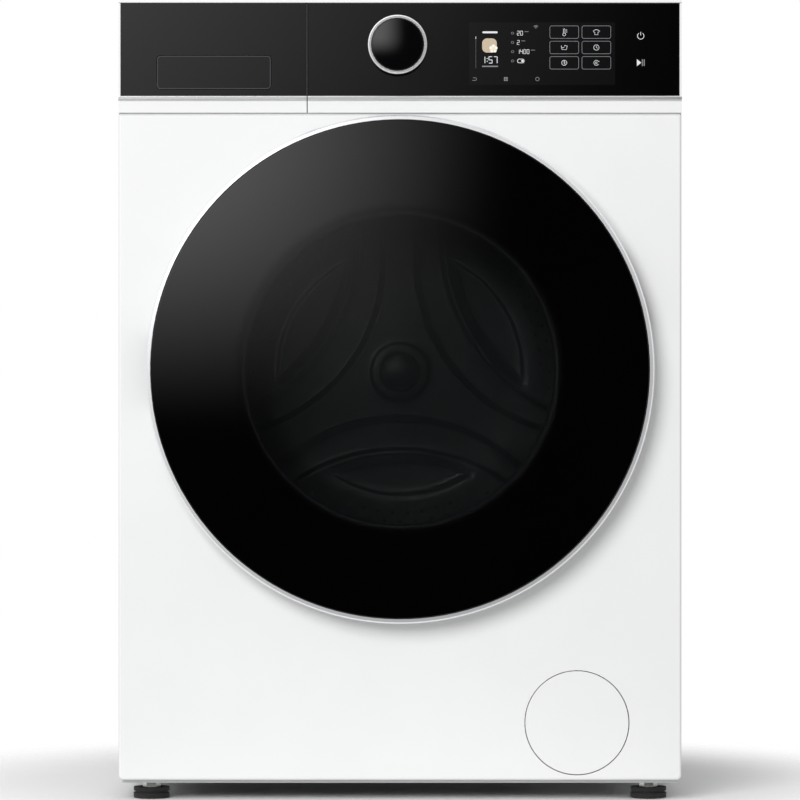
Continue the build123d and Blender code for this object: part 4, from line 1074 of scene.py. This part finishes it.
def knob_dome():
    """Glossy face of the knob, which stands proud of its cap."""
    low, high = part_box("knob_cap")
    radius = (high.x - low.x) / 2 - 0.6 * MM
    cap = dome("knob_face", "knob_cap", radius, 1.6 * MM, 2.5 * MM, BLACK_GLOSS, "knob", 96, 0.6 * MM)
    cap.data.transform(Matrix.Translation((0, -1.5 * MM, 0)))


def joint_strip():
    """White strip that closes the joint line between the front panel and the fascia."""
    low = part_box("front_panel")[1].z - 1.6 * MM
    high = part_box("control_fascia")[0].z - 0.35 * MM
    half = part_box("front_panel")[1].x - 2 * MM
    front = PANEL_Y - 0.05 * MM
    verts = []
    for y in (front, front + 14 * MM):
        verts += [(-half, y, low), (half, y, low), (half, y, high), (-half, y, high)]
    faces = [(0, 1, 2, 3), (7, 6, 5, 4), (0, 4, 5, 1), (1, 5, 6, 2), (2, 6, 7, 3), (3, 7, 4, 0)]
    add_mesh("fascia_joint_strip", verts, faces, WHITE_ABS, "cabinet", 0)


door_dome()
knob_dome()
bowl_piece()
joint_strip()
seal_piece()
clamp_wire()
spring_pieces()
sump_hose()
dispenser_hose()
inlet_hose()
drain_hose()

# ------------------------------------------------------------ stage, camera and light

FLOOR_HALF = 1.4
FADE_START = 0.33
FADE_END = 0.64
SOFT_BOX = 2.4
SOFT_BOX_WAY = (-0.21, -1.0, 0.21)
SURROUND_WAY = (-0.55, -0.35, 0.75)
AMBIENT = 0.50
CAMERA_DISTANCE = 4.6
SENSOR = 36
VIEW_WIDTH = 1.000375 * TOP_Z


def floor_piece():
    """Pale floor that fades out into the white surround."""
    verts = [(x * FLOOR_HALF, y * FLOOR_HALF, 0) for x, y in ((-1, -1), (1, -1), (1, 1), (-1, 1))]
    mat, tree, shader = new_material("studio_floor")
    slow = texture(tree, "ShaderNodeTexNoise", 0.6, 2)
    tint(tree, shader, slow.outputs["Fac"], 0.3, 0.7, (0.93, 0.93, 0.93), (0.96, 0.96, 0.96))
    shader.inputs["Roughness"].default_value = 0.8
    fade = ramp(tree, distance_from(tree, (0, 0, 0)), FADE_START, FADE_END, 1.0, 0.0)
    tree.links.new(fade, shader.inputs["Alpha"])
    floor = add_mesh("studio_floor", verts, [(0, 1, 2, 3)], mat, None, 0)
    floor.location.z = -1.0 * MM
    floor.visible_glossy = False


def facing(tree, vector, direction, near, far, at_near, at_far):
    """Value that runs from at_near to at_far between two angles, in degrees, from a direction."""
    dot = tree.nodes.new("ShaderNodeVectorMath")
    dot.operation = "DOT_PRODUCT"
    dot.inputs[1].default_value = Vector(direction).normalized()
    tree.links.new(vector, dot.inputs[0])
    angle = tree.nodes.new("ShaderNodeMath")
    angle.operation = "ARCCOSINE"
    tree.links.new(dot.outputs["Value"], angle.inputs[0])
    return ramp(tree, angle.outputs["Value"], math.radians(near), math.radians(far), at_near, at_far)


def combine(tree, operation, a, b):
    """Result of a math operation on two values, each a number or a socket."""
    node = tree.nodes.new("ShaderNodeMath")
    node.operation = operation
    for value, socket in ((a, node.inputs[0]), (b, node.inputs[1])):
        if isinstance(value, float):
            socket.default_value = value
        else:
            tree.links.new(value, socket)
    return node.outputs["Value"]


def choose(tree, switch, off, on):
    """off where switch is 0 and on where it is 1."""
    node = tree.nodes.new("ShaderNodeMix")
    tree.links.new(switch, node.inputs["Factor"])
    for value, socket in ((off, node.inputs["A"]), (on, node.inputs["B"])):
        if isinstance(value, float):
            socket.default_value = value
        else:
            tree.links.new(value, socket)
    return node.outputs["Result"]


def soft_box(tree, way):
    """Round glow up to the left in front, which also fades out to the right and downwards."""
    parts = tree.nodes.new("ShaderNodeSeparateXYZ")
    tree.links.new(way, parts.inputs["Vector"])
    left = combine(tree, "DIVIDE", parts.outputs["X"], parts.outputs["Y"])
    down = combine(tree, "DIVIDE", parts.outputs["Z"], parts.outputs["Y"])
    fading = combine(tree, "MULTIPLY", ramp(tree, left, -0.08, 0.17), ramp(tree, down, 0.035, -0.16))
    return combine(tree, "MULTIPLY", fading, facing(tree, way, SOFT_BOX_WAY, 13, 20, SOFT_BOX, 0.0))


def world():
    """White studio; the glass reflects a dark flag behind the camera and a soft box up to the left."""
    scene_world = bpy.data.worlds.new("studio")
    bpy.context.scene.world = scene_world
    scene_world.use_nodes = True
    tree = scene_world.node_tree
    background = tree.nodes["Background"]
    coord = tree.nodes.new("ShaderNodeTexCoord")
    ray = tree.nodes.new("ShaderNodeLightPath")
    way = coord.outputs["Generated"]
    glow = soft_box(tree, way)
    surround = facing(tree, way, SURROUND_WAY, 20, 120, 1.15, 0.5)
    flag = facing(tree, way, (0, -1, 0), 19, 34, 0.0, 1.0)
    mirrored = combine(tree, "MAXIMUM", glow, combine(tree, "MULTIPLY", surround, flag))
    seen = choose(tree, ray.outputs["Is Glossy Ray"], AMBIENT, mirrored)
    seen = choose(tree, ray.outputs["Is Camera Ray"], seen, 1.0)
    background.inputs["Color"].default_value = (1, 1, 1, 1)
    tree.links.new(seen, background.inputs["Strength"])


def area(name, place, target, size, power):
    """Round area light at a place, turned to a target."""
    light = bpy.data.lights.new(name, "AREA")
    light.shape = "DISK"
    light.size = size
    light.energy = power
    obj = bpy.data.objects.new(name, light)
    bpy.context.scene.collection.objects.link(obj)
    obj.visible_glossy = False
    obj.location = place
    obj.rotation_euler = (Vector(target) - Vector(place)).to_track_quat("-Z", "Y").to_euler()


def camera():
    """Level camera in front of the machine, whose height just fills its view."""
    data = bpy.data.cameras.new("camera")
    obj = bpy.data.objects.new("camera", data)
    bpy.context.scene.collection.objects.link(obj)
    obj.location = (0, PANEL_Y - CAMERA_DISTANCE, TOP_Z / 2)
    obj.rotation_euler = (math.radians(90), 0, 0)
    data.sensor_fit = "HORIZONTAL"
    data.sensor_width = SENSOR
    data.lens = SENSOR * CAMERA_DISTANCE / VIEW_WIDTH
    data.clip_end = 50
    bpy.context.scene.camera = obj


floor_piece()
world()
area("key", (-1.5, -4.3, 2.2), (0, 0, 0.45), 2.6, 145)
camera()
bpy.context.scene.view_settings.view_transform = "Standard"
